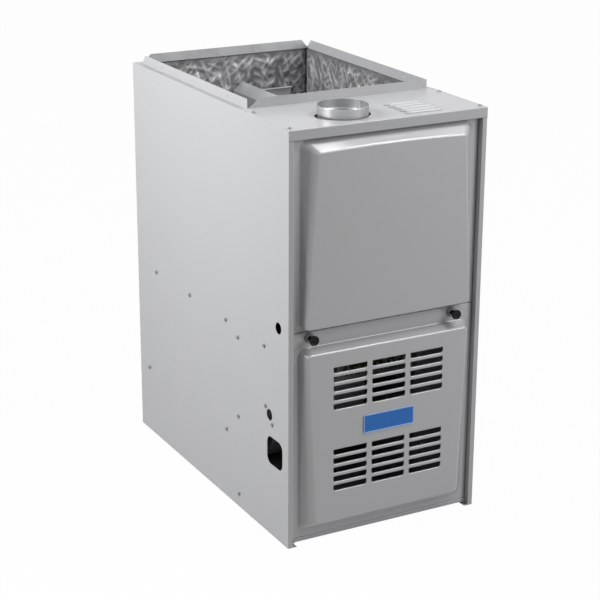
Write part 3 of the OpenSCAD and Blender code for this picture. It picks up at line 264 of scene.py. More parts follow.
class GlossDrift(EffectGroup):
    """Roughness that drifts between two values in finger-wide clouds."""

    title = "gloss_drift"
    inputs = {"Vector": None, "Scale": 12.0, "Low": 0.3, "High": 0.45}
    outputs = ("Roughness",)

    @classmethod
    def wire(cls, nodes: Nodes, given: NodeOutputs) -> Feeds:
        """Roughness = Low to High as a noise goes from 0.3 to 0.7."""
        cloud = nodes.noise(given["Vector"], given["Scale"], 5.0, 0.55)
        return {"Roughness": nodes.spread(cloud, 0.3, 0.7, given["Low"], given["High"])}


class SettledDust(EffectGroup):
    """Dust that settles on ledges: a mask on faces that look up, broken by noise."""

    title = "settled_dust"
    inputs = {"Vector": None, "Colour": (0.5, 0.5, 0.5, 1.0), "Dust": (0.42, 0.40, 0.37, 1.0),
              "Amount": 0.1}
    outputs = ("Colour", "Mask")

    @classmethod
    def wire(cls, nodes: Nodes, given: NodeOutputs) -> Feeds:
        """Mask = Amount times how far the face looks up, times a cloudy noise.

        Args:
            nodes: the group's node adder.
            given: the group's inputs.

        Returns:
            What each of its outputs takes.
        """
        facing = nodes.add("ShaderNodeNewGeometry").outputs["Normal"]
        parts = nodes.add("ShaderNodeSeparateXYZ", {0: facing})
        up = nodes.spread(parts.outputs["Z"], 0.55, 0.98)
        cloud = nodes.spread(nodes.noise(given["Vector"], 26.0, 5.0), 0.3, 0.75)
        mask = nodes.math("MULTIPLY", nodes.math("MULTIPLY", up, cloud), given["Amount"])
        return {"Colour": nodes.blend(mask, given["Colour"], given["Dust"]), "Mask": mask}


class Spangle(EffectGroup):
    """The crystal flakes of zinc-coated sheet: a tone per flake and a faint seam between flakes."""

    title = "zinc_spangle"
    inputs = {"Vector": None, "Scale": 130.0}
    outputs = ("Tone", "Height")
    push: ClassVar[Triple] = (0.006, 0.006, 0.006)

    @classmethod
    def wire(cls, nodes: Nodes, given: NodeOutputs) -> Feeds:
        """Tone = a random value per flake; Height = the distance to its border, cut short.

        Args:
            nodes: the group's node adder.
            given: the group's inputs.

        Returns:
            What each of its outputs takes.
        """
        vector, scale = given["Vector"], given["Scale"]
        noise = nodes.add("ShaderNodeTexNoise", {"Vector": vector, "Scale": scale})
        feeds = {0: noise.outputs["Color"], 1: cls.push, 2: vector}
        bent = nodes.add("ShaderNodeVectorMath", feeds, operation="MULTIPLY_ADD")
        feeds = {"Vector": bent.outputs[0], "Scale": scale}
        flakes = nodes.add("ShaderNodeTexVoronoi", feeds, feature="F1")
        seam = nodes.add("ShaderNodeTexVoronoi", feeds, feature="DISTANCE_TO_EDGE")
        tone = nodes.add("ShaderNodeSeparateColor", {0: flakes.outputs["Color"]}).outputs[0]
        return {"Tone": tone, "Height": nodes.spread(seam.outputs["Distance"], 0.0, 0.08)}


class CrinkleAndShade(EffectGroup):
    """Close creases of thin foil, as a height, and a tone that is painted shade: darker in the
    hollows between creases, lighter on their crests.
    """

    title = "foil_crinkle_and_painted_shade"
    inputs = {"Vector": None, "Scale": 60.0}
    outputs = ("Height", "Tone")

    @classmethod
    def wire(cls, nodes: Nodes, given: NodeOutputs) -> Feeds:
        """Height = 1 - |2 noise - 1| at two scales, so that creases stand up as sharp lines.

        Args:
            nodes: the group's node adder.
            given: the group's inputs.

        Returns:
            What each of its outputs takes.
        """
        parts = []
        for closer, share in ((1.0, 1.0), (2.7, 0.45)):
            scale = nodes.math("MULTIPLY", given["Scale"], closer)
            value = nodes.noise(given["Vector"], scale, 2.0)
            ridge = nodes.math("ABSOLUTE", nodes.math("MULTIPLY_ADD", value, 2.0, -1.0))
            parts.append(nodes.math("MULTIPLY", nodes.math("SUBTRACT", 1.0, ridge), share))
        height = nodes.math("ADD", *parts)
        # Tone is painted shade taken from the height: low in the hollows between creases, 1 on their
        # crests.
        return {"Height": height, "Tone": nodes.spread(height, 0.9, 1.42)}


class Drawn(EffectGroup):
    """Fine parallel lines left by rolling or brushing, run along one axis."""

    title = "drawn_lines"
    inputs = {"Vector": None, "Stretch": None, "Scale": 300.0}
    outputs = ("Height",)

    @classmethod
    def wire(cls, nodes: Nodes, given: NodeOutputs) -> Feeds:
        """Height = noise read at the place times Stretch, which is small along the lines.

        Args:
            nodes: the group's node adder.
            given: the group's inputs.

        Returns:
            What each of its outputs takes.
        """
        feeds = {0: given["Vector"], 1: given["Stretch"]}
        squeezed = nodes.add("ShaderNodeVectorMath", feeds, operation="MULTIPLY")
        return {"Height": nodes.noise(squeezed.outputs[0], given["Scale"], 4.0, 0.65)}


# ---- finishes


class Pattern(Enum):
    """What a finish has on top of its grain."""

    PLAIN = auto()
    SPANGLE = auto()
    DRAWN = auto()
    CRINKLE = auto()
    BOARD = auto()
    STACKED = auto()
    HEAT = auto()


@dataclass(frozen=True)
class Finish:
    """One surface finish: its colour, gloss, grain and pattern."""

    name: str
    colour: Triple
    roughness: float
    metallic: float = 0.0
    coat: float = 0.0
    specular: float = 0.5
    drift: float = 0.03
    drift_scale: float = 9.0
    gloss_swing: float = 0.05
    grain_scale: float = 900.0
    grain_depth: float = 0.00003
    waviness: float = 0.3
    dust: float = 0.0
    pattern: Pattern = Pattern.PLAIN
    pattern_scale: float = 130.0
    pattern_tone: float = 0.2
    pattern_depth: float = 0.0001
    stretch: Triple = (1.0, 1.0, 1.0)
    # A mark on the mesh, and the colour blended in where it is; the foil's mark is a painted
    # highlight on its crease ridges.
    attribute: str = ""
    painted_highlight_colour: Triple = (1.0, 1.0, 1.0)

    COAT_ROUGHNESS: ClassVar[float] = 0.12
    GLOSS_CLOSER: ClassVar[float] = 1.7
    BOARD_LINES: ClassVar[Triple] = (0.55, 0.52, 0.30)
    HEAT_STAIN: ClassVar[Triple] = (0.30, 0.22, 0.16)

    def make(self) -> Material:
        """Builds the finish as a material.

        Returns:
            The material, with one Principled BSDF.
        """
        material = bpy.data.materials.new(self.name)
        nodes = Nodes.emptied(material)
        place = nodes.add("ShaderNodeTexCoord").outputs["Object"]
        colour = ColourDrift.place(nodes, Vector=place, Colour=self.colour, Scale=self.drift_scale,
                                   Amount=self.drift)["Colour"]
        rough = GlossDrift.place(nodes, Vector=place, Scale=self.drift_scale * self.GLOSS_CLOSER,
                                 Low=max(self.roughness - self.gloss_swing, 0.02),
                                 High=min(self.roughness + self.gloss_swing, 1.0))["Roughness"]
        grain = FineGrain.place(nodes, Vector=place, Scale=self.grain_scale, Waviness=self.waviness)
        normal = self.bump(nodes, grain["Height"], self.grain_depth)
        colour, rough, normal = self.dress(nodes, place, colour, rough, normal)
        # Where the mesh has the finish's mark, its colour is blended in: on the foil this paints the
        # crease ridges lighter, a painted highlight.
        if self.attribute:
            mask = nodes.add("ShaderNodeAttribute", attribute_name=self.attribute)
            colour = nodes.blend(mask.outputs["Fac"], colour, self.painted_highlight_colour)
        if self.dust > 0.0:
            settled = SettledDust.place(nodes, Vector=place, Colour=colour, Amount=self.dust)
            colour = settled["Colour"]
            rough = nodes.math("ADD", rough, settled["Mask"])
        shader = nodes.add("ShaderNodeBsdfPrincipled", {
            "Base Color": colour, "Roughness": rough, "Normal": normal, "Metallic": self.metallic,
            "Specular IOR Level": self.specular, "Coat Weight": self.coat,
            "Coat Roughness": self.COAT_ROUGHNESS})
        nodes.add("ShaderNodeOutputMaterial", {"Surface": shader.outputs[0]})
        return material

    @staticmethod
    def bump(nodes: Nodes, height: NodeSocket, depth: float, *under: NodeSocket) -> NodeSocket:
        """Adds a bump.

        Args:
            nodes: the material's node adder.
            height: the height, from 0 to 1.
            depth: how far that is, in metres.
            under: the normal that it lies on, if any.

        Returns:
            The bumped normal.
        """
        feeds = {"Strength": 1.0, "Distance": depth, "Height": height}
        feeds.update({"Normal": normal for normal in under})
        return nodes.add("ShaderNodeBump", feeds).outputs["Normal"]

    def dress(self, nodes: Nodes, place: NodeSocket, colour: NodeSocket, rough: NodeSocket,
              normal: NodeSocket) -> tuple[NodeSocket, NodeSocket, NodeSocket]:
        """Adds the finish's pattern.

        Args:
            nodes: the material's node adder.
            place: the object coordinates.
            colour: the colour so far.
            rough: the roughness so far.
            normal: the normal so far.

        Returns:
            Colour, roughness and normal with the pattern in them.
        """
        dark = tuple(c * (1.0 - self.pattern_tone) for c in self.colour)
        given = {"Vector": place, "Scale": self.pattern_scale}
        height = None
        if self.pattern is Pattern.SPANGLE:
            flakes = Spangle.place(nodes, **given)
            height, tone = flakes["Height"], flakes["Tone"]
            colour = nodes.blend(nodes.spread(tone, 0.0, 1.0, 0.0, 0.8), colour, dark)
            rough = nodes.math("ADD", rough, nodes.spread(tone, 0.0, 1.0, -0.06, 0.06))
        elif self.pattern is Pattern.DRAWN:
            height = Drawn.place(nodes, Stretch=self.stretch, **given)["Height"]
            colour = nodes.blend(nodes.spread(height, 0.3, 0.7), colour, dark)
            rough = nodes.math("ADD", rough, nodes.spread(height, 0.3, 0.7, -0.05, 0.05))
        elif self.pattern is Pattern.CRINKLE:
            folds = CrinkleAndShade.place(nodes, **given)
            height = folds["Height"]
            # Painted shade: the colour is darker in the hollows between the fine creases and full on
            # their crests.
            colour = nodes.blend(folds["Tone"], dark, colour)
        elif self.pattern is Pattern.BOARD:
            cells = nodes.add("ShaderNodeTexVoronoi", given, feature="F1", distance="CHEBYCHEV")
            height = nodes.spread(cells.outputs["Distance"], 0.42, 0.46)
            colour = nodes.blend(height, colour, self.BOARD_LINES)
        elif self.pattern is Pattern.STACKED:
            lines = nodes.add("ShaderNodeTexWave", {**given, "Distortion": 0.4}, wave_type="BANDS",
                              bands_direction="X")
            height = lines.outputs["Fac"]
            colour = nodes.blend(height, colour, dark)
        elif self.pattern is Pattern.HEAT:
            stain = nodes.spread(nodes.noise(place, self.pattern_scale, 4.0), 0.45, 0.7)
            colour = nodes.blend(stain, colour, self.HEAT_STAIN)
            rough = nodes.math("ADD", rough, nodes.math("MULTIPLY", stain, 0.15))
        if height is not None:
            normal = self.bump(nodes, height, self.pattern_depth, normal)
        return colour, rough, normal


PAINT = dict(drift=0.012, drift_scale=5.0, grain_scale=420.0, grain_depth=0.00002, waviness=0.5)

FINISHES: dict[str, Finish] = {
    "painted_casing": Finish("casing_paint", (0.390, 0.394, 0.407), 0.36, coat=0.25, **PAINT),
    "painted_door": Finish("door_paint", (0.395, 0.397, 0.405), 0.33, coat=0.8, **PAINT),
    "galvanised": Finish(
        "galvanised_sheet", (0.50, 0.51, 0.52), 0.38, metallic=0.6, drift=0.02, dust=0.06,
        pattern=Pattern.SPANGLE, pattern_scale=140.0, pattern_tone=0.07, pattern_depth=0.00001),
    "bright_steel": Finish(
        "bright_rolled_steel", (0.40, 0.404, 0.412), 0.42, metallic=0.75, drift_scale=24.0,
        gloss_swing=0.04, grain_depth=0.000005, pattern=Pattern.DRAWN, pattern_scale=120.0,
        pattern_tone=0.05, pattern_depth=0.00001, stretch=(1.0, 1.0, 0.02)),
    "zinc_screws": Finish(
        "zinc_plated_screws", (0.30, 0.30, 0.305), 0.42, metallic=0.5, drift=0.10,
        drift_scale=200.0, grain_scale=2500.0),
    "foil": Finish(
        "foil_facing", (0.165, 0.167, 0.172), 0.46, metallic=0.3, drift=0.08, drift_scale=14.0,
        # The crinkle pattern paints the foil darker in the hollows between its fine creases: painted
        # shade.
        gloss_swing=0.07, pattern=Pattern.CRINKLE, pattern_scale=90.0, pattern_depth=0.0004,
        # The foil's crease ridges are painted lighter through this mark and colour: a painted
        # highlight.
        attribute="crease_highlight", painted_highlight_colour=(0.43, 0.43, 0.44)),
    "aluminised_tube": Finish(
        "aluminised_tube", (0.50, 0.50, 0.49), 0.45, metallic=0.8, drift=0.08, pattern=Pattern.HEAT,
        pattern_scale=7.0),
    "black_paint": Finish(
        "black_baked_paint", (0.030, 0.030, 0.032), 0.42, drift=0.12, grain_scale=700.0,
        grain_depth=0.00006, dust=0.15),
    "brass": Finish(
        "turned_brass", (0.68, 0.50, 0.22), 0.28, metallic=1.0, drift=0.08, drift_scale=60.0,
        grain_scale=1800.0),
    "valve_casting": Finish(
        "die_cast_valve", (0.42, 0.43, 0.44), 0.5, metallic=0.7, drift=0.06, grain_scale=1100.0,
        grain_depth=0.0001, dust=0.08),
    "black_plastic": Finish(
        "black_moulded_plastic", (0.004, 0.004, 0.0042), 0.30, specular=0.16, drift=0.15,
        drift_scale=40.0, grain_scale=1600.0),
    "grey_plastic": Finish(
        "grey_moulded_plastic", (0.22, 0.22, 0.225), 0.45, drift=0.06, drift_scale=40.0,
        grain_scale=1400.0),
    "red_plastic": Finish(
        "red_button_plastic", (0.45, 0.03, 0.02), 0.35, drift=0.06, drift_scale=60.0,
        grain_scale=1600.0),
    "white_plastic": Finish(
        "white_moulded_plastic", (0.74, 0.74, 0.71), 0.4, drift=0.04, drift_scale=60.0,
        grain_scale=1600.0),
    "ceramic": Finish(
        "unglazed_ceramic", (0.72, 0.68, 0.60), 0.75, drift=0.08, drift_scale=80.0,
        grain_scale=1500.0, grain_depth=0.0001),
    "rubber": Finish(
        "black_rubber", (0.022, 0.022, 0.023), 0.6, drift=0.1, drift_scale=50.0,
        grain_scale=1200.0, grain_depth=0.00008, dust=0.15),
    "circuit_board": Finish(
        "green_circuit_board", (0.02, 0.14, 0.06), 0.38, drift=0.08, drift_scale=60.0, coat=0.4,
        pattern=Pattern.BOARD, pattern_scale=150.0, pattern_depth=0.00005),
    "transformer_iron": Finish(
        "stacked_iron", (0.20, 0.20, 0.21), 0.42, metallic=0.6, drift=0.08, pattern=Pattern.STACKED,
        pattern_scale=320.0, pattern_tone=0.45, pattern_depth=0.0002),
    "capacitor_can": Finish(
        "drawn_aluminium_can", (0.66, 0.67, 0.68), 0.3, metallic=1.0, drift=0.04,
        pattern=Pattern.DRAWN, pattern_scale=260.0, pattern_depth=0.00002,
        stretch=(0.03, 1.0, 1.0)),
    "badge_blue": Finish(
        "badge_blue_enamel", (0.026, 0.155, 0.490), 0.26, specular=0.2, drift=0.05,
        drift_scale=30.0, gloss_swing=0.03, grain_depth=0.000006),
    "badge_border": Finish(
        "badge_border_lacquer", (0.28, 0.42, 0.72), 0.24, specular=0.3, drift_scale=40.0,
        gloss_swing=0.03, grain_depth=0.000006),
}


# ---- surfaces


def to_row(points: Array) -> Array:
    """Cabinet millimetres to the row frame's metres."""
    return (points + np.array([0.0, FRONT_Y, 0.0])) * MM


def cabinet_box(node: str) -> list[Array]:
    """Lowest and highest corner of a CAD node in cabinet millimetres."""
    return [np.array(corner) / MM - np.array([0.0, FRONT_Y, 0.0]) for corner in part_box(node)]


def at(x: object, y: object, z: object) -> Array:
    """Points from three coordinates of shapes that go together."""
    return np.stack(np.broadcast_arrays(x, y, z), axis=-1)


def at_depth(outline: Array, depth: object) -> Array:
    """Places an [x, z] outline at a depth, one number or one for each point."""
    return at(outline[:, 0], depth, outline[:, 1])


def box_corners(low: float, high: float, half_low: float, half_high: float,
                middle: float = 0.0) -> Array:
    """Corners of a plate seen from the front, from its lower left one, against the clock."""
    return np.array([[middle - half_low, low], [middle + half_low, low],
                     [middle + half_high, high], [middle - half_high, high]])


def rounded_outline(corners: Array, radius: object, arc: int, side: int,
                    bow: object = BOW) -> Array:
    """Outline of a four-sided plate with round corners.

    Each corner's arc touches both sides at radius / tan(half its angle) from it, and each side is
    split evenly between its two arcs. A side bows out by 4 bow s (1 - s), so that no three points
    of it stand in line.

    Args:
        corners: four [x, z] corners, in order.
        radius: corner radius, or four radii.
        arc: points on each corner.
        side: points between two corners.
        bow: how far the middle of a side stands out, or one for each of the four sides.

    Returns:
        Array of 4 (arc + side) points [x, z].
    """
    radii = np.broadcast_to(np.asarray(radius, float), (4,))
    back = np.roll(corners, 1, axis=0) - corners
    ahead = np.roll(corners, -1, axis=0) - corners
    back /= np.linalg.norm(back, axis=1, keepdims=True)
    ahead /= np.linalg.norm(ahead, axis=1, keepdims=True)
    half = np.arccos(np.clip((back * ahead).sum(axis=1), -1.0, 1.0)) / 2.0
    middle = back + ahead
    middle /= np.linalg.norm(middle, axis=1, keepdims=True)
    centres = corners + middle * (radii / np.sin(half))[:, None]
    reach = (radii / np.tan(half))[:, None]
    start = corners + back * reach
    end = corners + ahead * reach
    share = np.linspace(0.0, 1.0, arc)[None, :, None]
    a, b = ((place - centres)[:, None, :] for place in (start, end))
    turn = (np.pi - 2.0 * half)[:, None, None]
    swung = np.sin((1.0 - share) * turn) * a + np.sin(share * turn) * b
    arcs = centres[:, None, :] + swung / np.sin(turn)
    step = (np.arange(1, side + 1) / (side + 1.0))[None, :, None]
    sides = end[:, None, :] * (1.0 - step) + np.roll(start, -1, axis=0)[:, None, :] * step
    outward = np.stack([ahead[:, 1], -ahead[:, 0]], axis=1)[:, None, :]
    stand = np.broadcast_to(np.asarray(bow, float), (4,))[:, None, None]
    sides = sides + outward * (4.0 * stand * step * (1.0 - step))
    return np.concatenate([arcs, sides], axis=1).reshape(-1, 2)


def bend(start: Array, corner: Array, end: Array, count: int) -> Array:
    """Soft corner between two rings: count rings along (1-t)^2 start + 2t(1-t) corner + t^2 end."""
    t = np.linspace(0.0, 1.0, count)[:, None, None]
    return (1 - t) ** 2 * start[None] + 2 * t * (1 - t) * corner[None] + t ** 2 * end[None]


def weld(mesh: Mesh) -> None:
    """Merges points that lie on one another.

    Args:
        mesh: the mesh to merge.
    """
    work = bmesh.new()
    work.from_mesh(mesh)
    bmesh.ops.remove_doubles(work, verts=work.verts, dist=MERGE)
    work.to_mesh(mesh)
    work.free()


def smooth(mesh: Mesh, angle: float) -> None:
    """Shades a mesh smooth, with edges over an angle in degrees left sharp."""
    mesh.polygons.foreach_set("use_smooth", np.ones(len(mesh.polygons), dtype=bool))
    mesh.set_sharp_from_angle(angle=math.radians(angle))


@dataclass
class Patchwork:
    """Points and faces of one piece in cabinet millimetres, gathered patch by patch."""

    points: list[Array] = field(default_factory=list)
    faces: list[Array] = field(default_factory=list)
    marks: list[Array] = field(default_factory=list)
    dyes: list[Array] = field(default_factory=list)

    def patch(self, points: Array, faces: Array, mark: object = 0.0, dye: int = 0) -> None:
        """Adds points with the faces between them.

        Args:
            points: array (n, 3).
            faces: array (m, 3 or 4) of point numbers.
            mark: value kept on each point.
            dye: material number of the faces.
        """
        self.faces.append(faces + sum(map(len, self.points)))
        self.points.append(points)
        self.marks.append(np.broadcast_to(np.ravel(mark).astype(float), (len(points),)))
        self.dyes.append(np.full(len(faces), dye))

    def grid(self, points: Array, wrap: bool = False, flip: bool = False, mark: object = 0.0,
             dye: int = 0) -> None:
        """Adds a grid of points with a four-sided face in each cell.

        Args:
            points: array (rows, columns, 3).
            wrap: joins the last column to the first.
            flip: turns the faces over.
            mark: value kept on each point.
            dye: material number of the faces.
        """
        index = np.arange(points.shape[0] * points.shape[1]).reshape(points.shape[:2])
        right = np.roll(index, -1, axis=1) if wrap else index[:, 1:]
        left = index if wrap else index[:, :-1]
        quads = np.stack([left[:-1], right[:-1], right[1:], left[1:]], axis=-1).reshape(-1, 4)
        self.patch(points.reshape(-1, 3), quads[:, ::-1] if flip else quads, mark, dye)

    def mesh(self, name: str, angle: float, mark_name: str) -> Mesh:
        """Makes one mesh of the patches, merged and shaded smooth.

        Args:
            name: the mesh's name.
            angle: edges sharper than this many degrees stay sharp.
            mark_name: name of the attribute that keeps the marks, if any.

        Returns:
            The new mesh.
        """
        mesh = bpy.data.meshes.new(name)
        points = to_row(np.concatenate(self.points))
        loops = np.concatenate([faces.ravel() for faces in self.faces])
        sizes = np.concatenate([np.full(len(faces), faces.shape[1]) for faces in self.faces])
        mesh.vertices.add(len(points))
        mesh.vertices.foreach_set("co", points.ravel())
        mesh.loops.add(len(loops))
        mesh.loops.foreach_set("vertex_index", loops.astype(np.int32))
        mesh.polygons.add(len(sizes))
        mesh.polygons.foreach_set("loop_start", (np.cumsum(sizes) - sizes).astype(np.int32))
        mesh.polygons.foreach_set("material_index", np.concatenate(self.dyes).astype(np.int32))
        if mark_name:
            layer = mesh.attributes.new(mark_name, "FLOAT", "POINT")
            layer.data.foreach_set("value", np.concatenate(self.marks).astype(np.float32))
        mesh.update(calc_edges=True)
        mesh.validate()
        weld(mesh)
        smooth(mesh, angle)
        return mesh


# ---- from a surface to a piece


class Workshop:
    """The record's bodies and slots, the materials, and how a mesh becomes a piece of the frame."""

    def __init__(self, record: dict) -> None:
        """Reads the record and builds every material.

        Args:
            record: the part's record.
        """
        bodies = record["behaviour"]["bodies"]
        self.body_of = {node: body for body, members in bodies.items() for node in members}
        self.slot_of = {part["node"]: part["material_slot"] for part in record["subparts"]}
        self.materials = {slot: finish.make() for slot, finish in FINISHES.items()}

    def copy(self, node: str, ending: str) -> Mesh:
        """Copies a CAD node's mesh, without its material.

        Args:
            node: the CAD node.
            ending: what the copy's name has after the node's.

        Returns:
            The copy.
        """
        mesh = frame["nodes"][node].data.copy()
        mesh.name = node + ending
        mesh.materials.clear()
        return mesh

    def join(self, mesh: Mesh, node: str, slots: tuple[str, ...] = (),
             stands: bool = True) -> Object:
        """Makes a mesh a piece on a CAD node's body.

        Args:
            mesh: the piece's mesh, which names it.
            node: the CAD node.
            slots: its materials' slots, where they aren't only the node's.
            stands: False for a piece that only adds to the node, which another one replaces.

        Returns:
            The new object.
        """
        for slot in slots or (self.slot_of[node],):
            mesh.materials.append(self.materials[slot])
        piece = linked(mesh.name, mesh)
        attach(piece, self.body_of[node])
        if stands:
            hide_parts(node)
        return piece


class Surfaced:
    """A piece made of grid and profile surfaces for a CAD node."""

    node: str
    ending: ClassVar[str] = ""
    angle: ClassVar[float] = 50.0
    wall: ClassVar[float] = 0.0
    mark_name: ClassVar[str] = ""
    slots: ClassVar[tuple[str, ...]] = ()
    stands: ClassVar[bool] = True

    def name(self) -> str:
        """The piece's name."""
        return self.node + self.ending

    def surfaces(self, patches: Patchwork) -> None:
        """Adds the piece's surfaces to the patches."""
        raise NotImplementedError

    def touch_up(self, piece: Object) -> None:
        """Does what is left to do on the new piece, on most nothing."""

    def build(self, shop: Workshop) -> Object:
        """Builds the piece, with its sheet thickness behind its faces where it has a wall.

        Args:
            shop: the furnace's workshop.

        Returns:
            The new piece.
        """
        patches = Patchwork()
        self.surfaces(patches)
        mesh = patches.mesh(self.name(), self.angle, self.mark_name)
        piece = shop.join(mesh, self.node, self.slots, self.stands)
        if self.wall:
            solid = piece.modifiers.new("sheet", "SOLIDIFY")
            solid.thickness = self.wall * MM
            solid.offset = -1.0
            solid.use_even_offset = False
            solid.use_quality_normals = True
        self.touch_up(piece)
        return piece


# ---- copies of CAD nodes


@dataclass
class FoldedSheet:
    """A sheet-metal node with the small bend radius of its folds put back.

    Faces whose middle lies in the dropped box go, where another piece takes their place. The sheet
    is cut across at one height, so that no face runs past the doors' folded foot.
    """

    node: str
    dropped: Optional[tuple[Triple, Triple]] = None
    bend_radius: float = 1.3
    segments: int = 3
    least_width: float = 2.5
    least_length: float = 12.0
    cut_height: float = SHEET
    flat_angle: float = 0.6
    fold_angles: tuple[float, float] = (1.0, 2.1)

    def build(self, shop: Workshop) -> Object:
        """Copies the node, merges it and rounds its outer folds.

        Only the bends are shaded smooth, so that the flats beside them stay flat.

        Args:
            shop: the furnace's workshop.

        Returns:
            The new piece.
        """
        mesh = shop.copy(self.node, "_folded")
        work = bmesh.new()
        work.from_mesh(mesh)
        bmesh.ops.remove_doubles(work, verts=work.verts, dist=MERGE)
        bmesh.ops.dissolve_limit(work, angle_limit=math.radians(self.flat_angle), verts=work.verts,
                                 edges=work.edges)
        if self.dropped:
            low, high = (to_row(np.array(corner)) for corner in self.dropped)
            middles = np.array([face.calc_center_median() for face in work.faces])
            gone = ((middles > low) & (middles < high)).all(axis=1)
            faces = [face for face, goes in zip(work.faces, gone) if goes]
            bmesh.ops.delete(work, geom=faces, context="FACES")
        bmesh.ops.bisect_plane(work, geom=work.verts[:] + work.edges[:] + work.faces[:], dist=1e-7,
                               plane_co=(0.0, 0.0, self.cut_height * MM), plane_no=(0.0, 0.0, 1.0))
        folds = [edge for edge in work.edges if self.is_fold(edge)]
        for face in work.faces:
            face.smooth = False
        bends = bmesh.ops.bevel(
            work, geom=folds, offset=self.bend_radius * MM, offset_type="OFFSET",
            segments=self.segments, profile=0.5, affect="EDGES", clamp_overlap=False)
        for face in bends["faces"]:
            face.smooth = True
        work.to_mesh(mesh)
        work.free()
        return shop.join(mesh, self.node)

    def is_fold(self, edge: bmesh.types.BMEdge) -> bool:
        """Tells an outer fold, where two wide faces meet about square, from a cut rim.

        Args:
            edge: an edge of the merged copy.

        Returns:
            True for a fold.
        """
        least, most = self.fold_angles
        if (len(edge.link_faces) != 2 or not edge.is_convex
                or edge.calc_length() < self.least_length * MM
                or not least < edge.calc_face_angle(0.0) < most):
            return False
        return min(self.width(face, edge) for face in edge.link_faces) > self.least_width * MM

    @staticmethod
    def width(face: bmesh.types.BMFace, edge: bmesh.types.BMEdge) -> float:
        """Measures how far a face reaches from one of its edges, at the least of three places.

        From a place on the edge a line runs square into the face, and ends where it crosses another
        edge. That is where the way along the first edge, between the other edge's ends, is zero.

        Args:
            face: a flat face.
            edge: one of its edges.

        Returns:
            The least reach in metres, or a metre where the line meets nothing.
        """
        corner = next(loop for loop in face.loops if loop.edge == edge)
        start, end = corner.vert.co, corner.link_loop_next.vert.co
        along = (end - start).normalized()
        inward = face.normal.cross(along)
        reaches = [1.0]
        for place in (start.lerp(end, share) for share in (0.04, 0.5, 0.96)):
            for other in face.edges:
                a, b = (vert.co - place for vert in other.verts)
                a_along, b_along = a.dot(along), b.dot(along)
                if other != edge and (a_along > 0.0) != (b_along > 0.0):
                    reaches.append(a.lerp(b, a_along / (a_along - b_along)).dot(inward))
        return min(reach for reach in reaches if reach > 1e-7)


@dataclass
class RoundedNode:
    """A turned or curved node whose short flats are shaded as one smooth surface."""

    node: str
    angle: float = 34.0

    def build(self, shop: Workshop) -> Object:
        """Copies the node, merges it and shades it smooth.

        Args:
            shop: the furnace's workshop.

        Returns:
            The new piece.
        """
        mesh = shop.copy(self.node, "_rounded")
        weld(mesh)
        smooth(mesh, self.angle)
        return shop.join(mesh, self.node)


# ---- top plate's louvres


@dataclass
class TopLouvres(Surfaced):
    """The row of half-round ridges pressed up in the top plate, open at their right ends."""

    node: str = "top_panel"
    left: float = 47.25
    right: float = 125.25
    row_middle: float = 71.6
    pitch: float = 20.0
    count: int = 5
    half_width: float = 6.8
    rise: float = 4.5
    shift: float = -4.6
    taper: float = 16.0
    clear: float = 0.05
    angle = 60.0
    wall = SHEET
    stands = False

    def name(self) -> str:
        """The piece's name."""
        return "top_louvres_pressed"

    def room(self) -> tuple[Triple, Triple]:
        """Works out the box that holds the CAD's plain ramps, whose place the ridges take.

        Returns:
            Its lowest and its highest corner.
        """
        reach = self.pitch * self.count / 2.0
        return ((self.left - 1.0, self.row_middle - reach - 4.0, PLATE_Z + 0.1),
                (self.right + 1.0, self.row_middle + reach, PLATE_Z + 9.0))

    def surfaces(self, patches: Patchwork) -> None:
        """Adds the ridges.

        A ridge's height is rise times the root of 1 - t^2 across it, where t runs from -1 to 1, and
        both its height and its width grow from nothing over the taper at its left end.

        Args:
            patches: where the faces go.
        """
        length = self.right - self.left
        along = np.concatenate([np.linspace(0.0, self.taper, 9), [length - 0.8, length]])[:, None]
        swell = np.sqrt(1.0 - (1.0 - np.clip(along / self.taper, 0.0, 1.0)) ** 2)
        across = np.sin(np.linspace(-1.0, 1.0, 17) * math.pi / 2.0)[None, :]
        height = self.rise * swell * np.sqrt(np.clip(1.0 - across ** 2, 0.0, 1.0))
        first = self.row_middle - self.pitch * (self.count - 1) / 2.0
        width = self.half_width * swell * across
        for middle in first + self.shift + self.pitch * np.arange(self.count):
            ridge = at(self.left + along, middle + width, PLATE_Z + self.clear + height)
            patches.grid(ridge, flip=True)


# ---- doors


@dataclass(frozen=True)
class Plate:
    """A four-sided outline with round corners, whose top side bows up by the crown."""

    low: float
    high: float
    half_low: float
    half_high: float
    radius: float
    crown: float = BOW

    def ring(self, grow: float = 0.0) -> Array:
        """Works out the outline.

        Args:
            grow: the margin it is grown by.

        Returns:
            Array (points, 2) of [x, z].
        """
        corners = box_corners(self.low - grow, self.high + grow, self.half_low + grow,
                              self.half_high + grow)
        return rounded_outline(corners, self.radius + grow, 9, 10, (BOW, BOW, self.crown, BOW))


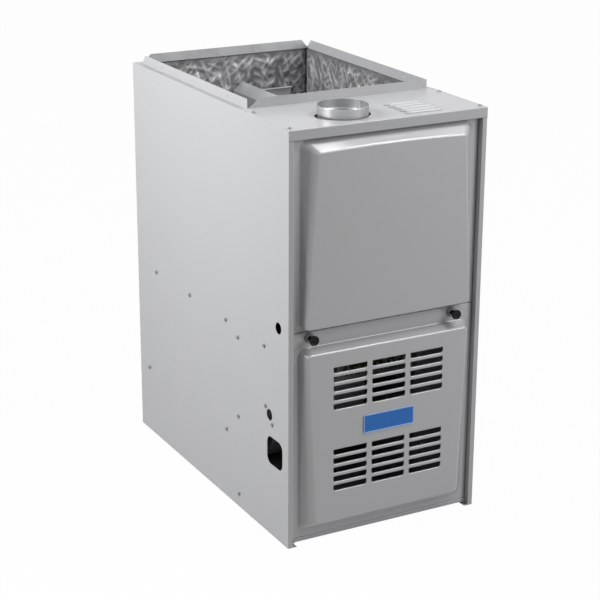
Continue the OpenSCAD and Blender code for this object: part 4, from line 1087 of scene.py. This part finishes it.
@dataclass
class PressedDoor(Surfaced):
    """A pressed sheet door: folded edge, flange, and a raised field whose face leans."""

    node: str
    low: float
    high: float
    base: Plate
    face: Plate
    proud_low: float
    proud_high: float
    foot_bend: float = 2.2
    edge_bend: float = 3.2
    fold_radius: float = 1.3
    rim_corner: float = 1.2
    flat_corner: float = 1.0
    hold_back: float = 1.5
    most_foot: float = 0.35
    most_edge: float = 0.45
    ending = "_pressed"
    wall = SHEET

    def lean(self, z: Array) -> Array:
        """Depth of the raised face's plane at each height."""
        share = (z - self.face.low) / (self.face.high - self.face.low)
        return -(self.proud_low + (self.proud_high - self.proud_low) * share)

    def on_face(self, outline: Array, sunk: object = 0.0) -> Array:
        """Places an outline on the raised face, or sunk behind it."""
        return at_depth(outline, self.lean(outline[:, 1]) + sunk)

    def rings(self) -> Array:
        """The door's surface from its folded rim in to its raised face.

        The rim turns on to the flange by a quarter bend, the flange runs in to the raised field's
        foot, and the field climbs to its face between two soft corners.

        Returns:
            Array (rings, points, 3), outermost first.
        """
        wide = Plate(self.low, self.high, DOOR_HALF, DOOR_HALF, self.rim_corner).ring()
        inset = self.fold_radius
        flat = Plate(self.low + inset, self.high - inset, DOOR_HALF - inset, DOOR_HALF - inset,
                     self.flat_corner).ring()
        fold = bend(at_depth(wide, DOOR_SETBACK + inset), at_depth(wide, DOOR_SETBACK),
                    at_depth(flat, DOOR_SETBACK), 5)
        base = at_depth(self.base.ring(), DOOR_SETBACK)
        foot = at_depth(self.base.ring(self.foot_bend), DOOR_SETBACK)
        face, inner, hold = (self.on_face(self.face.ring(-back))
                             for back in (0.0, self.edge_bend, self.edge_bend + self.hold_back))
        slope = np.linalg.norm(face - base, axis=1, keepdims=True)
        foot_share = np.minimum(self.foot_bend * 1.5 / slope, self.most_foot)
        edge_share = np.minimum(self.edge_bend / slope, self.most_edge)
        climb_start = base + (face - base) * foot_share
        climb_end = face + (base - face) * edge_share
        return np.concatenate([
            at_depth(wide, DOOR_SETBACK + DOOR_FOLD)[None], fold, foot[None],
            bend(foot, base, climb_start, 6)[1:], bend(climb_end, face, inner, 9), hold[None]])

    def slot_outlines(self) -> list[Array]:
        """Outlines of the openings in the raised face, none on a plain door."""
        return []

    def fill_face(self, patches: Patchwork, edge: Array) -> None:
        """Fills the raised face inside an outline, around its openings.

        Args:
            patches: where the faces go.
            edge: the outline, (points, 2).
        """
        loops = [edge] + self.slot_outlines()
        starts = np.cumsum([0] + [len(loop) for loop in loops])
        edges = np.concatenate([np.stack([np.arange(a, b), np.roll(np.arange(a, b), -1)], axis=1)
                                for a, b in zip(starts[:-1], starts[1:])])
        flat = [Vector(point) for point in np.concatenate(loops).tolist()]
        coords, _, triangles, *_ = delaunay_2d_cdt(flat, edges.tolist(), [], 0, 1e-5)
        coords = np.array([tuple(point) for point in coords])
        triangles = np.array([triangle for triangle in triangles if len(triangle) == 3])
        centres = coords[triangles].mean(axis=1)
        keep = self.inside(centres, edge)
        for loop in loops[1:]:
            keep &= ~self.inside(centres, loop)
        triangles = triangles[keep]
        a, b = (coords[triangles[:, i]] - coords[triangles[:, 0]] for i in (1, 2))
        turned = a[:, 0] * b[:, 1] < a[:, 1] * b[:, 0]
        triangles[turned] = triangles[turned][:, ::-1]
        patches.patch(self.on_face(coords), triangles)

    @staticmethod
    def inside(points: Array, loop: Array) -> Array:
        """Which points lie inside a closed loop.

        A point is inside where a ray from it crosses the loop an odd number of times.

        Args:
            points: array (n, 2).
            loop: array (m, 2).

        Returns:
            Array of n truth values.
        """
        following = np.roll(loop, -1, axis=0)
        x, z = points[:, 0][:, None], points[:, 1][:, None]
        crosses = (loop[None, :, 1] > z) != (following[None, :, 1] > z)
        rise = np.where(following[:, 1] == loop[:, 1], 1e-9, following[:, 1] - loop[:, 1])
        run = (following[:, 0] - loop[:, 0]) / rise
        meets = loop[None, :, 0] + (z - loop[None, :, 1]) * run[None]
        return ((crosses & (x < meets)).sum(axis=1) % 2).astype(bool)

    def surfaces(self, patches: Patchwork) -> None:
        """Adds the sheet: its rings, and the raised face inside them.

        Args:
            patches: where the faces go.
        """
        rings = self.rings()
        patches.grid(rings, wrap=True)
        self.fill_face(patches, rings[-1][:, [0, 2]])

    def touch_up(self, piece: Object) -> None:
        """Weights the normals by face area, so that flats stay flat beside their bends.

        Args:
            piece: the door.
        """
        weighted = piece.modifiers.new("even", "WEIGHTED_NORMAL")
        weighted.keep_sharp = True
        weighted.weight = 100


@dataclass
class LouvredDoor(PressedDoor):
    """The lower door: louvred slots in its raised face, and a pressed half-round mark each side."""

    slot_w: float = 77.0
    slot_h: float = 12.5
    slot_pitch: float = 19.4
    slot_rows: int = 5
    column_pitch: float = 89.0
    group_tops: tuple[float, ...] = (379.3, 204.3)
    corner_r: float = 5.5
    roll_grow: Triple = (0.7, 0.5, 3.6)
    outer_grow: Triple = (1.1, 0.9, 4.0)
    roll_depth: float = 2.1
    rim_depth: float = 0.5
    blade_r: float = 8.6
    blade_turn: float = 1.05
    blade_in: float = 0.1
    blade_up: float = 0.2
    mark_size: float = 4.8
    mark_width: float = 0.6
    mark_x: float = 200.75
    mark_z: float = 414.5

    def slot_places(self) -> Array:
        """Works out where the slots are.

        Returns:
            The top middle of each, array (slots, 2) of [x, z].
        """
        columns = (np.arange(3) - 1.0) * self.column_pitch
        drops = np.arange(self.slot_rows) * self.slot_pitch
        tops = np.concatenate([top - drops for top in self.group_tops])
        return np.array([[x, z] for x in columns for z in tops])

    def slot_ring(self, x: float, z: float, side: float, over: float, under: float) -> Array:
        """Works out one slot's outline, grown all round.

        Args:
            x: the slot's middle.
            z: its top.
            side: growth at each side.
            over: growth over its top.
            under: growth under its foot.

        Returns:
            Array (points, 2) of [x, z].
        """
        half = self.slot_w / 2.0 + side
        low = self.corner_r + under * 0.6
        return rounded_outline(box_corners(z - self.slot_h - under, z + over, half, half, x),
                               (low, low, 0.6, 0.6), 7, 5)

    def outer_ring(self, x: float, z: float) -> Array:
        """Outline of one slot's rolled edge."""
        return self.slot_ring(x, z, *self.outer_grow)

    def slot_outlines(self) -> list[Array]:
        """Outer outlines of the slots' rolled edges."""
        return [self.outer_ring(x, z) for x, z in self.slot_places()]

    def surfaces(self, patches: Patchwork) -> None:
        """Adds the sheet, the slots' rolled edges, their curled blades and the half-round marks.

        The sheet rolls in round each slot by a soft corner, deepest under its foot. A blade curls
        by blade_turn about blade_r: it starts square in from the slot's top and bends down.

        Args:
            patches: where the faces go.
        """
        super().surfaces(patches)
        reach = self.slot_w / 2.0 - 0.1
        across = np.linspace(-reach, reach, 7)[None, :]
        turn = np.linspace(0.0, self.blade_turn, 9)[:, None]
        for x, z in self.slot_places():
            inner = self.slot_ring(x, z, 0.0, 0.0, 0.0)
            foot = np.clip((z - self.slot_h * 0.55 - inner[:, 1]) / (self.slot_h * 0.45), 0.0, 1.0)
            depth = self.rim_depth + (self.roll_depth - self.rim_depth) * foot
            outer = self.on_face(self.outer_ring(x, z))[None]
            rolled = bend(self.on_face(self.slot_ring(x, z, *self.roll_grow)),
                          self.on_face(inner), self.on_face(inner, depth), 6)
            patches.grid(np.concatenate([outer, rolled]), wrap=True)
            into = self.lean(z) + self.blade_in + self.blade_r * np.sin(turn)
            down = z + self.blade_up - self.blade_r * (1.0 - np.cos(turn))
            blade = at(x + across, into, down)
            patches.grid(blade, flip=True)
        self.add_marks(patches)

    def add_marks(self, patches: Patchwork) -> None:
        """Adds the marks: a half-round bead along an arc that is 0.7 as wide as it is high.

        Args:
            patches: where the faces go.
        """
        arc = np.radians(np.linspace(125.0, -115.0, 24))
        path = np.stack([0.7 * np.cos(arc), np.sin(arc)], axis=1)[:, None, :]
        around = np.linspace(0.0, math.pi, 7)[None, :]
        away = np.gradient(path[:, 0], axis=0)[:, None, :]
        away = away[..., ::-1] * [1.0, -1.0] / np.linalg.norm(away, axis=-1, keepdims=True)
        across = self.mark_size * path + self.mark_width * np.cos(around)[..., None] * away
        lift = DOOR_SETBACK + 0.05 - 0.8 * self.mark_width * np.sin(around)
        for x in (-self.mark_x, self.mark_x):
            patches.grid(at(x + across[..., 0], lift, self.mark_z + across[..., 1]))


# ---- badge and knobs


@dataclass
class BadgePlate(Surfaced):
    """The blank badge: a domed blue field inside a pale raised border."""

    node: str = "badge_plate"
    width: float = 118.0
    height: float = 39.0
    centre_z: float = 245.6
    thickness: float = 1.6
    border: float = 2.0
    border_rise: float = 0.5
    radius: float = 4.0
    lean_rise: float = 6.3
    lean_run: float = 362.7
    face_foot: float = 49.3
    face_proud: float = 17.0
    ending = "_enamelled"
    angle = 40.0
    slots = ("badge_border", "badge_blue")

    def on_face(self, flat: Array, height: float) -> Array:
        """Places badge points on the leaning face.

        A point is the badge's middle plus its across and up shares along the face, plus its height
        along the face's outward direction.

        Args:
            flat: array (n, 2) of across and up.
            height: height above the face.

        Returns:
            Array (n, 3) in cabinet millimetres.
        """
        angle = math.atan2(self.lean_rise, self.lean_run)
        up = np.array([0.0, math.sin(angle), math.cos(angle)])
        out = np.array([0.0, -math.cos(angle), math.sin(angle)])
        depth = -self.face_proud + (self.centre_z - self.face_foot) * math.tan(angle)
        middle = np.array([0.0, depth, self.centre_z])
        return middle + flat[:, :1] * np.array([1.0, 0.0, 0.0]) + flat[:, 1:] * up + height * out

    def outline(self, inset: float) -> Array:
        """Works out the badge's outline.

        Args:
            inset: how far it lies in from the badge's edge.

        Returns:
            Array (points, 2) of across and up.
        """
        half_w, half_h = self.width / 2 - inset, self.height / 2 - inset
        corners = box_corners(-half_h, half_h, half_w, half_w)
        return rounded_outline(corners, max(self.radius - inset, 0.8), 7, 4)

    def surfaces(self, patches: Patchwork) -> None:
        """Adds rings that step in from the badge's edge, and fans for its middle and its back.

        Args:
            patches: where the faces go.
        """
        rim, field_z = self.thickness + self.border_rise, self.thickness
        border = self.border
        profile = (
            (0.0, 0.02), (0.0, rim - 0.5), (0.15, rim - 0.15), (0.5, rim), (border - 0.6, rim),
            (border - 0.2, rim - 0.15), (border, field_z), (border + 0.3, field_z - 0.02),
            (border + 5.0, field_z + 0.05), (self.height / 2 - 3.0, field_z + 0.1))
        grid = np.array([self.on_face(self.outline(inset), rise) for inset, rise in profile])
        patches.grid(grid[:8], wrap=True)
        patches.grid(grid[7:], wrap=True, dye=1)
        last = grid[-1]
        number = np.arange(len(last))
        fan = np.stack([number, np.roll(number, -1), np.full(len(last), len(last))], axis=1)
        patches.patch(np.concatenate([last, last.mean(axis=0, keepdims=True)]), fan, dye=1)
        back = np.stack([np.zeros(len(last) - 2, int), number[2:], number[1:-1]], axis=1)
        patches.patch(grid[0], back)


@dataclass
class DoorKnob(Surfaced):
    """A black knob turned about its screw: dished head with a centre boss, and a narrow neck."""

    node: str
    head_r: float = 10.3
    head_depth: float = 5.5
    neck_r: float = 5.2
    neck_back: float = 6.7
    screw_r: float = 3.0
    flutes: int = 22
    flute_depth: float = 0.32
    ending = "_turned"

    def surfaces(self, patches: Patchwork) -> None:
        """Turns the knob's profile about its screw, with shallow flutes round the head.

        Args:
            patches: where the faces go.
        """
        low, high = cabinet_box(self.node)
        axis_x, _, axis_z = (low + high) / 2.0
        front, back = low[1], high[1]
        head = front + self.head_depth
        profile = np.array([
            [0.001, front + 1.1], [1.8, front + 1.1], [2.4, front + 1.3], [2.7, front + 1.9],
            [3.0, front + 1.9], [6.2, front + 1.75], [7.1, front + 1.2], [7.7, front + 0.35],
            [8.3, front + 0.02], [9.2, front + 0.1], [9.9, front + 0.6], [self.head_r, front + 1.5],
            [self.head_r, head - 1.2], [self.head_r - 0.5, head - 0.3], [self.head_r - 1.4, head],
            [self.neck_r, head + 0.02], [self.neck_r, self.neck_back],
            [self.screw_r, self.neck_back + 0.02], [self.screw_r, back - 0.8],
            [self.screw_r - 0.8, back], [0.001, back]])
        out, depth = profile[:, :1], profile[:, 1:]
        turn = np.linspace(0.0, 2.0 * math.pi, 89)[None, :-1]
        grooved = np.clip((out - 9.4) / 0.5, 0.0, 1.0)
        grooved = grooved * (depth > front + 0.8) * (depth < head - 0.2)
        radius = out - self.flute_depth * grooved * (0.5 + 0.5 * np.cos(self.flutes * turn))
        patches.grid(at(axis_x + radius * np.cos(turn), depth, axis_z + radius * np.sin(turn)),
                     wrap=True, flip=True)


# ---- vent collar


@dataclass
class VentCollar(Surfaced):
    """The round collar: one rolled strip whose ends lap at the right rear, and its bead."""

    node: str = "vent_collar"
    radius: float = 50.8
    centre_x: float = -66.5
    centre_y: float = 71.6
    low: float = 843.1
    high: float = 885.0
    plate_under: float = 863.1
    step: float = 1.0
    step_z: float = 866.0
    lap_at: float = 0.42
    lap: float = 0.16
    ending = "_rolled"
    angle = 40.0
    wall = 0.7

    def turned(self, radius: Array, turn: Array, z: Array) -> Array:
        """Points at a radius, turn and height about the collar's axis."""
        return at(self.centre_x + radius * np.cos(turn), self.centre_y + radius * np.sin(turn), z)

    def surfaces(self, patches: Patchwork) -> None:
        """Adds the rolled strip and the two lengths of bead under the plate.

        The strip's radius is the collar's, less one wall over the first lap radians, where its end
        lies under the other end, and less the step below step_z. The top edge turns in a little. A
        bead runs over a third of a turn at the front and at the rear.

        Args:
            patches: where the faces go.
        """
        turn = np.linspace(self.lap_at - self.lap, self.lap_at + 2.0 * math.pi, 220)[None, :]
        ease = np.clip((turn - self.lap_at) / 0.10 + 0.5, 0.0, 1.0)
        under = (1.0 - ease * ease * (3.0 - 2.0 * ease)) * (self.wall + 0.12)
        edge = np.array([
            [self.low, -self.step], [self.plate_under, -self.step], [self.step_z - 0.5, -self.step],
            [self.step_z, -0.7 * self.step], [self.step_z + 0.4, -0.2 * self.step],
            [self.step_z + 1.0, 0.0], [874.0, 0.0], [882.6, 0.0], [884.0, -0.02], [884.7, -0.14],
            [self.high, -0.38]])
        ripple = 0.10 * np.sin(3.0 * turn + 0.4) + 0.06 * np.sin(7.0 * turn + 1.0)
        patches.grid(self.turned(self.radius - under + edge[:, 1:] + ripple, turn, edge[:, :1]))
        inner, outer, plate = self.radius - self.step - 0.3, self.radius + 5.0, self.plate_under
        bead = np.array([[inner, plate - 2.5], [outer - 0.5, plate - 2.5], [outer, plate - 2.0],
                         [outer, plate - 0.5], [outer - 0.5, plate - 0.02], [inner, plate - 0.02]])
        for facing in (-math.pi / 2.0, math.pi / 2.0):
            ring = np.linspace(facing - math.pi / 6.0, facing + math.pi / 6.0, 25)[None, :]
            patches.grid(self.turned(bead[:, :1], ring, bead[:, 1:]))


# ---- foil-faced insulation


def value_noise(u: Array, v: Array, seed: int) -> Array:
    """Smooth noise, -1 to 1.

    Random numbers stand on a 64 by 64 lattice, and each point takes the four round it, weighted
    by t squared times (3 - 2t) each way.

    Args:
        u: first coordinate, in lattice steps.
        v: second coordinate, in lattice steps.
        seed: picks the lattice.

    Returns:
        The noise at each point.
    """
    table = np.random.default_rng(seed).random((64, 64)) * 2.0 - 1.0
    iu, iv = np.floor(u).astype(int), np.floor(v).astype(int)
    tu, tv = u - iu, v - iv
    tu, tv = tu * tu * (3 - 2 * tu), tv * tv * (3 - 2 * tv)
    a, b = table[iu % 64, iv % 64], table[(iu + 1) % 64, iv % 64]
    c, d = table[iu % 64, (iv + 1) % 64], table[(iu + 1) % 64, (iv + 1) % 64]
    return (a * (1 - tu) + b * tu) * (1 - tv) + (c * (1 - tu) + d * tu) * tv


@dataclass
class FoilPad(Surfaced):
    """One foil-faced insulation pad, crumpled on the side that faces the air."""

    node: str
    seed: int
    bulge: float = 6.5
    fine: float = 2.4
    coarse: float = 9.0
    fine_depth: float = 190.0
    relief_middle: float = 9.0
    inset: float = 0.4
    top_hem: float = 22.0
    least_top: float = 0.12
    end_hem: float = 12.0
    least_end: float = 0.6
    folds: int = 7
    fold_turns: tuple[float, float] = (28.0, 152.0)
    fold_widths: tuple[float, float] = (13.0, 52.0)
    steepness: float = 0.13
    ridge_width: float = 3.9
    crest_power: float = 0.7
    ending = "_crumpled"
    angle = 60.0
    # The mark holds the ridge strength, which the foil's finish paints lighter as a highlight.
    mark_name = "crease_highlight"

    def creases(self, u: Array, v: Array) -> tuple[Array, Array]:
        """Crumpled relief of flat facets, and the sharp ridges between them.

        Each set of parallel folds adds |2 f - 1|, where f is the fraction of the way across one
        fold, bent a little by smooth noise, times a strength that comes and goes. A ridge is where
        a strong set is within the ridge width of its crest.

        Args:
            u: place along the wall, in millimetres.
            v: height, in millimetres.

        Returns:
            Relief in millimetres, from 0, and ridge strength from 0 to 1, which the foil's finish
            paints lighter as a painted highlight.
        """
        seed = self.seed * 17
        pick = np.random.default_rng(seed)
        turns = np.linspace(*self.fold_turns, self.folds) + pick.uniform(-8.0, 8.0, self.folds)
        widths = pick.permutation(np.geomspace(*self.fold_widths, self.folds))
        relief, line = np.zeros_like(u), np.zeros_like(u)
        for number, (turn, width) in enumerate(zip(np.radians(turns), widths)):
            bent = 0.55 * value_noise(u / 60.0, v / 60.0, seed + 50 + number)
            across = (u * math.sin(turn) + v * math.cos(turn)) / width + bent + number * 0.37
            tooth = np.abs(2.0 * (across - np.floor(across)) - 1.0)
            come_and_go = value_noise(u / 19.0, v / 27.0, seed + 70 + number)
            strength = np.clip(0.3 + 1.1 * come_and_go, 0.0, 1.0)
            relief += self.steepness * width * strength * tooth
            crest = np.clip(1.0 - (1.0 - tooth) * width / (2.0 * self.ridge_width), 0.0, 1.0)
            shown = np.clip(1.6 * strength - 0.3, 0.0, 1.0)
            line = np.maximum(line, crest ** self.crest_power * shown)
        return relief, line

    def surfaces(self, patches: Patchwork) -> None:
        """Adds a closed shell: crumpled front, flat back and rims.

        The front's rows stand close down to fine_depth, which is as far as it is seen. It is pushed
        out by the bulge times its relief and a slow swell, and less near its top and its ends.

        Args:
            patches: where the faces go.
        """
        low, high = cabinet_box(self.node)
        along_y = (high[1] - low[1]) > (high[0] - low[0])
        start, end = (low[1], high[1]) if along_y else (low[0], high[0])
        columns = np.arange(start + self.inset, end - self.inset, self.fine)
        top = np.arange(high[2] - self.inset, high[2] - self.fine_depth, -self.fine)
        rows = int((top[-1] - low[2]) / self.coarse)
        rest = np.linspace(top[-1] - self.coarse, low[2] + self.inset, rows)
        v, u = np.meshgrid(np.concatenate([top, rest]), columns, indexing="ij")
        relief, line = self.creases(u, v)
        relief = np.clip(0.5 + (relief - relief.mean()) / (2.0 * self.relief_middle), 0.0, 1.0)
        swell = 0.5 + 0.5 * value_noise(u / 120.0, v / 120.0, self.seed + 900)
        hem = np.clip((high[2] - v) / self.top_hem, self.least_top, 1.0)
        for reach in (u - start, end - u):
            hem = hem * np.clip(reach / self.end_hem, self.least_end, 1.0)
        push = self.bulge * hem * (0.3 * swell + 1.5 * relief - 0.8) - 0.5
        flip = True
        if along_y:
            inner_x, outer_x = (high[0], low[0]) if (low[0] + high[0]) < 0 else (low[0], high[0])
            side = math.copysign(1.0, inner_x - outer_x)
            front, back = at(inner_x + side * push, u, v), at(outer_x, u, v)
            flip = side < 0.0
        else:
            front, back = at(u, low[1] - push, v), at(u, high[1], v)
        # The ridge strength, faded near the hems, is the mark that the foil's finish paints lighter:
        # a painted highlight on the ridges.
        patches.grid(front, flip=flip, mark=line * np.clip(hem * 1.4, 0.0, 1.0))
        patches.grid(back, flip=not flip)
        for rim in (np.s_[0], np.s_[-1], np.s_[:, 0], np.s_[:, -1]):
            patches.grid(np.stack([front[rim], back[rim]]))

    def touch_up(self, piece: Object) -> None:
        """Args:
            piece: the pad.
        """
        work = bmesh.new()
        work.from_mesh(piece.data)
        bmesh.ops.recalc_face_normals(work, faces=work.faces)
        work.to_mesh(piece.data)
        work.free()


# ---- camera, light and floor


@dataclass(frozen=True)
class Softbox:
    """A square area lamp: its name, place, the point it faces, its side in metres and its watts."""

    name: str
    place: Triple
    towards: Triple
    side: float
    power: float

    def hang(self) -> None:
        """Adds the lamp to the scene."""
        data = bpy.data.lights.new(self.name, "AREA")
        data.shape = "RECTANGLE"
        data.size = data.size_y = self.side
        data.energy = self.power
        lamp = linked(self.name, data)
        lamp.location = self.place
        away = Vector(self.towards) - Vector(self.place)
        lamp.rotation_euler = away.to_track_quat("-Z", "Y").to_euler()


@dataclass(frozen=True)
class Studio:
    """The photograph's camera, a pale floor and soft light."""

    camera_at: Triple = (-1.6792, -3.1024, 1.6046)
    azimuth: float = -28.397
    elevation: float = 19.056
    roll: float = 0.246
    lens: float = 102.688
    film: float = 36.0
    far: float = 60.0
    ambient: float = 0.19
    floor_reach: float = 14.0
    floor_z: float = -0.0004
    floor_grey: float = 0.42
    floor_white: float = 0.981
    lamps: tuple[Softbox, ...] = (
        Softbox("key", (-1.6, 0.1, 1.55), (-0.22, -0.05, 0.8), 0.9, 42.0),
        Softbox("front", (1.5, -2.2, 1.8), (0.0, -0.35, 0.4), 1.2, 32.6),
        Softbox("overhead", (0.95, -0.95, 2.5), (0.0, -0.33, 0.83), 0.8, 27.0))

    def camera(self) -> None:
        """Makes the camera: its back axis from azimuth and elevation, then rolled."""
        a, e, r = (math.radians(v) for v in (self.azimuth, self.elevation, self.roll))
        back = Vector((math.sin(a) * math.cos(e), -math.cos(a) * math.cos(e), math.sin(e)))
        right = Vector((math.cos(a), math.sin(a), 0.0))
        up = back.cross(right)
        across = right * math.cos(r) + up * math.sin(r)
        upward = up * math.cos(r) - right * math.sin(r)
        data = bpy.data.cameras.new("camera")
        data.lens = self.lens
        data.sensor_width = self.film
        data.sensor_fit = "HORIZONTAL"
        data.clip_end = self.far
        camera = linked("camera", data)
        turn = Matrix((across, upward, back)).transposed().to_4x4()
        camera.matrix_world = Matrix.Translation(self.camera_at) @ turn
        bpy.context.scene.camera = camera

    def seen_plain(self, nodes: Nodes) -> NodeSocket:
        """Tells the rays that see the white backdrop from those that only light the object.

        Args:
            nodes: the tree's node adder.

        Returns:
            1 for a camera, glossy or transmission ray, else 0.
        """
        rays = nodes.add("ShaderNodeLightPath").outputs
        seen = nodes.math("MAXIMUM", rays["Is Camera Ray"], rays["Is Glossy Ray"])
        return nodes.math("MAXIMUM", seen, rays["Is Transmission Ray"])

    def world(self) -> None:
        """White behind the object, and a soft grey light from all round."""
        world = bpy.data.worlds.new("studio")
        bpy.context.scene.world = world
        nodes = Nodes.emptied(world)
        soft = nodes.add("ShaderNodeBackground", {"Strength": self.ambient})
        white = nodes.add("ShaderNodeBackground", {"Color": (1.0, 1.0, 1.0)})
        seen = self.seen_plain(nodes)
        mix = nodes.add("ShaderNodeMixShader", {0: seen, 1: soft.outputs[0], 2: white.outputs[0]})
        nodes.add("ShaderNodeOutputWorld", {"Surface": mix.outputs[0]})

    def floor(self) -> None:
        """A wide pale floor that shows nearly white and keeps the object's soft shadow."""
        mesh = bpy.data.meshes.new("studio_floor")
        reach, z = self.floor_reach, self.floor_z
        corners = [(-reach, -reach, z), (reach, -reach, z), (reach, reach, z), (-reach, reach, z)]
        mesh.from_pydata(corners, [], [(0, 1, 2, 3)])
        material = bpy.data.materials.new("floor_paper")
        nodes = Nodes.emptied(material)
        matt = nodes.add("ShaderNodeBsdfDiffuse", {"Color": (self.floor_grey,) * 3})
        bright = nodes.add("ShaderNodeEmission")
        share = nodes.math("MULTIPLY", self.seen_plain(nodes), self.floor_white)
        mix = nodes.add("ShaderNodeMixShader", {0: share, 1: matt.outputs[0], 2: bright.outputs[0]})
        nodes.add("ShaderNodeOutputMaterial", {"Surface": mix.outputs[0]})
        mesh.materials.append(material)
        linked("studio_floor", mesh)

    def build(self) -> None:
        """Sets the camera, the world, the floor and the lamps."""
        self.camera()
        self.world()
        self.floor()
        for lamp in self.lamps:
            lamp.hang()
        bpy.context.scene.view_settings.view_transform = "Standard"


# ---- the furnace


@dataclass
class Furnace:
    """Every sub-assembly, in the order it is dressed."""

    shop: Workshop
    folded: tuple[str, ...] = (
        "left_side_panel", "right_side_panel", "back_panel", "top_panel", "base_rail",
        "centre_rail", "vestibule_panel", "blower_deck", "bottom_closure_panel", "partition_posts",
        "blower_rails", "centre_air_baffle", "cross_air_baffle", "collector_box", "burner_bracket",
        "control_panel", "junction_box", "junction_box_cover")
    rounded: tuple[str, ...] = (
        "blower_housing", "blower_motor", "inducer_housing", "inducer_motor", "vent_transition",
        "heat_exchanger_tubes", "gas_manifold", "burners", "run_capacitor")
    pads: tuple[str, ...] = ("left_insulation", "right_insulation", "rear_insulation")
    first_seed: int = 3

    def doors(self) -> Iterator[PressedDoor]:
        """Works out the sizes of the two doors.

        Returns:
            The upper and the lower door.
        """
        half, low, high = DOOR_HALF, 455.5, 842.7
        yield PressedDoor(
            "upper_door", low, high, Plate(low + 3, high - 3.2, half - 17, half - 17, 15.0),
            Plate(low + 9, high - 25.0, half - 21, half - 43.5, 8.0, crown=4.0), 9.8, 13.6)
        low, high = 13.3, 454.5
        yield LouvredDoor(
            "lower_door", low, high, Plate(low + 17, high - 33, half - 15, half - 13, 15.0),
            Plate(low + 36, high - 42.5, half - 41, half - 24, 8.0), 17.0, 10.7)

    def pieces(self) -> Iterator[object]:
        """Lists what makes the new pieces.

        Returns:
            The pieces' makers, in the order they are built.
        """
        yield from self.doors()
        louvres = TopLouvres()
        for node in self.folded:
            yield FoldedSheet(node, louvres.room() if node == louvres.node else None)
        yield from map(RoundedNode, self.rounded)
        yield louvres
        for seed, node in enumerate(self.pads, self.first_seed):
            yield FoilPad(node, seed)
        yield BadgePlate()
        yield from map(DoorKnob, ("left_knob", "right_knob"))
        yield VentCollar()

    def build(self) -> None:
        """Builds every new piece, and gives the CAD nodes that still show their finish."""
        for maker in self.pieces():
            piece = maker.build(self.shop)
            log.info("%s: %d points, %d faces", piece.name, len(piece.data.vertices),
                     len(piece.data.polygons))
        for node, item in frame["nodes"].items():
            item.data.materials.clear()
            item.data.materials.append(self.shop.materials[self.shop.slot_of[node]])


def main() -> None:
    """Builds the studio and the furnace."""
    logging.basicConfig(level=logging.INFO, format="%(name)s: %(message)s")
    Studio().build()
    Furnace(Workshop(frame["record"])).build()


if __name__ == "__main__":
    main()
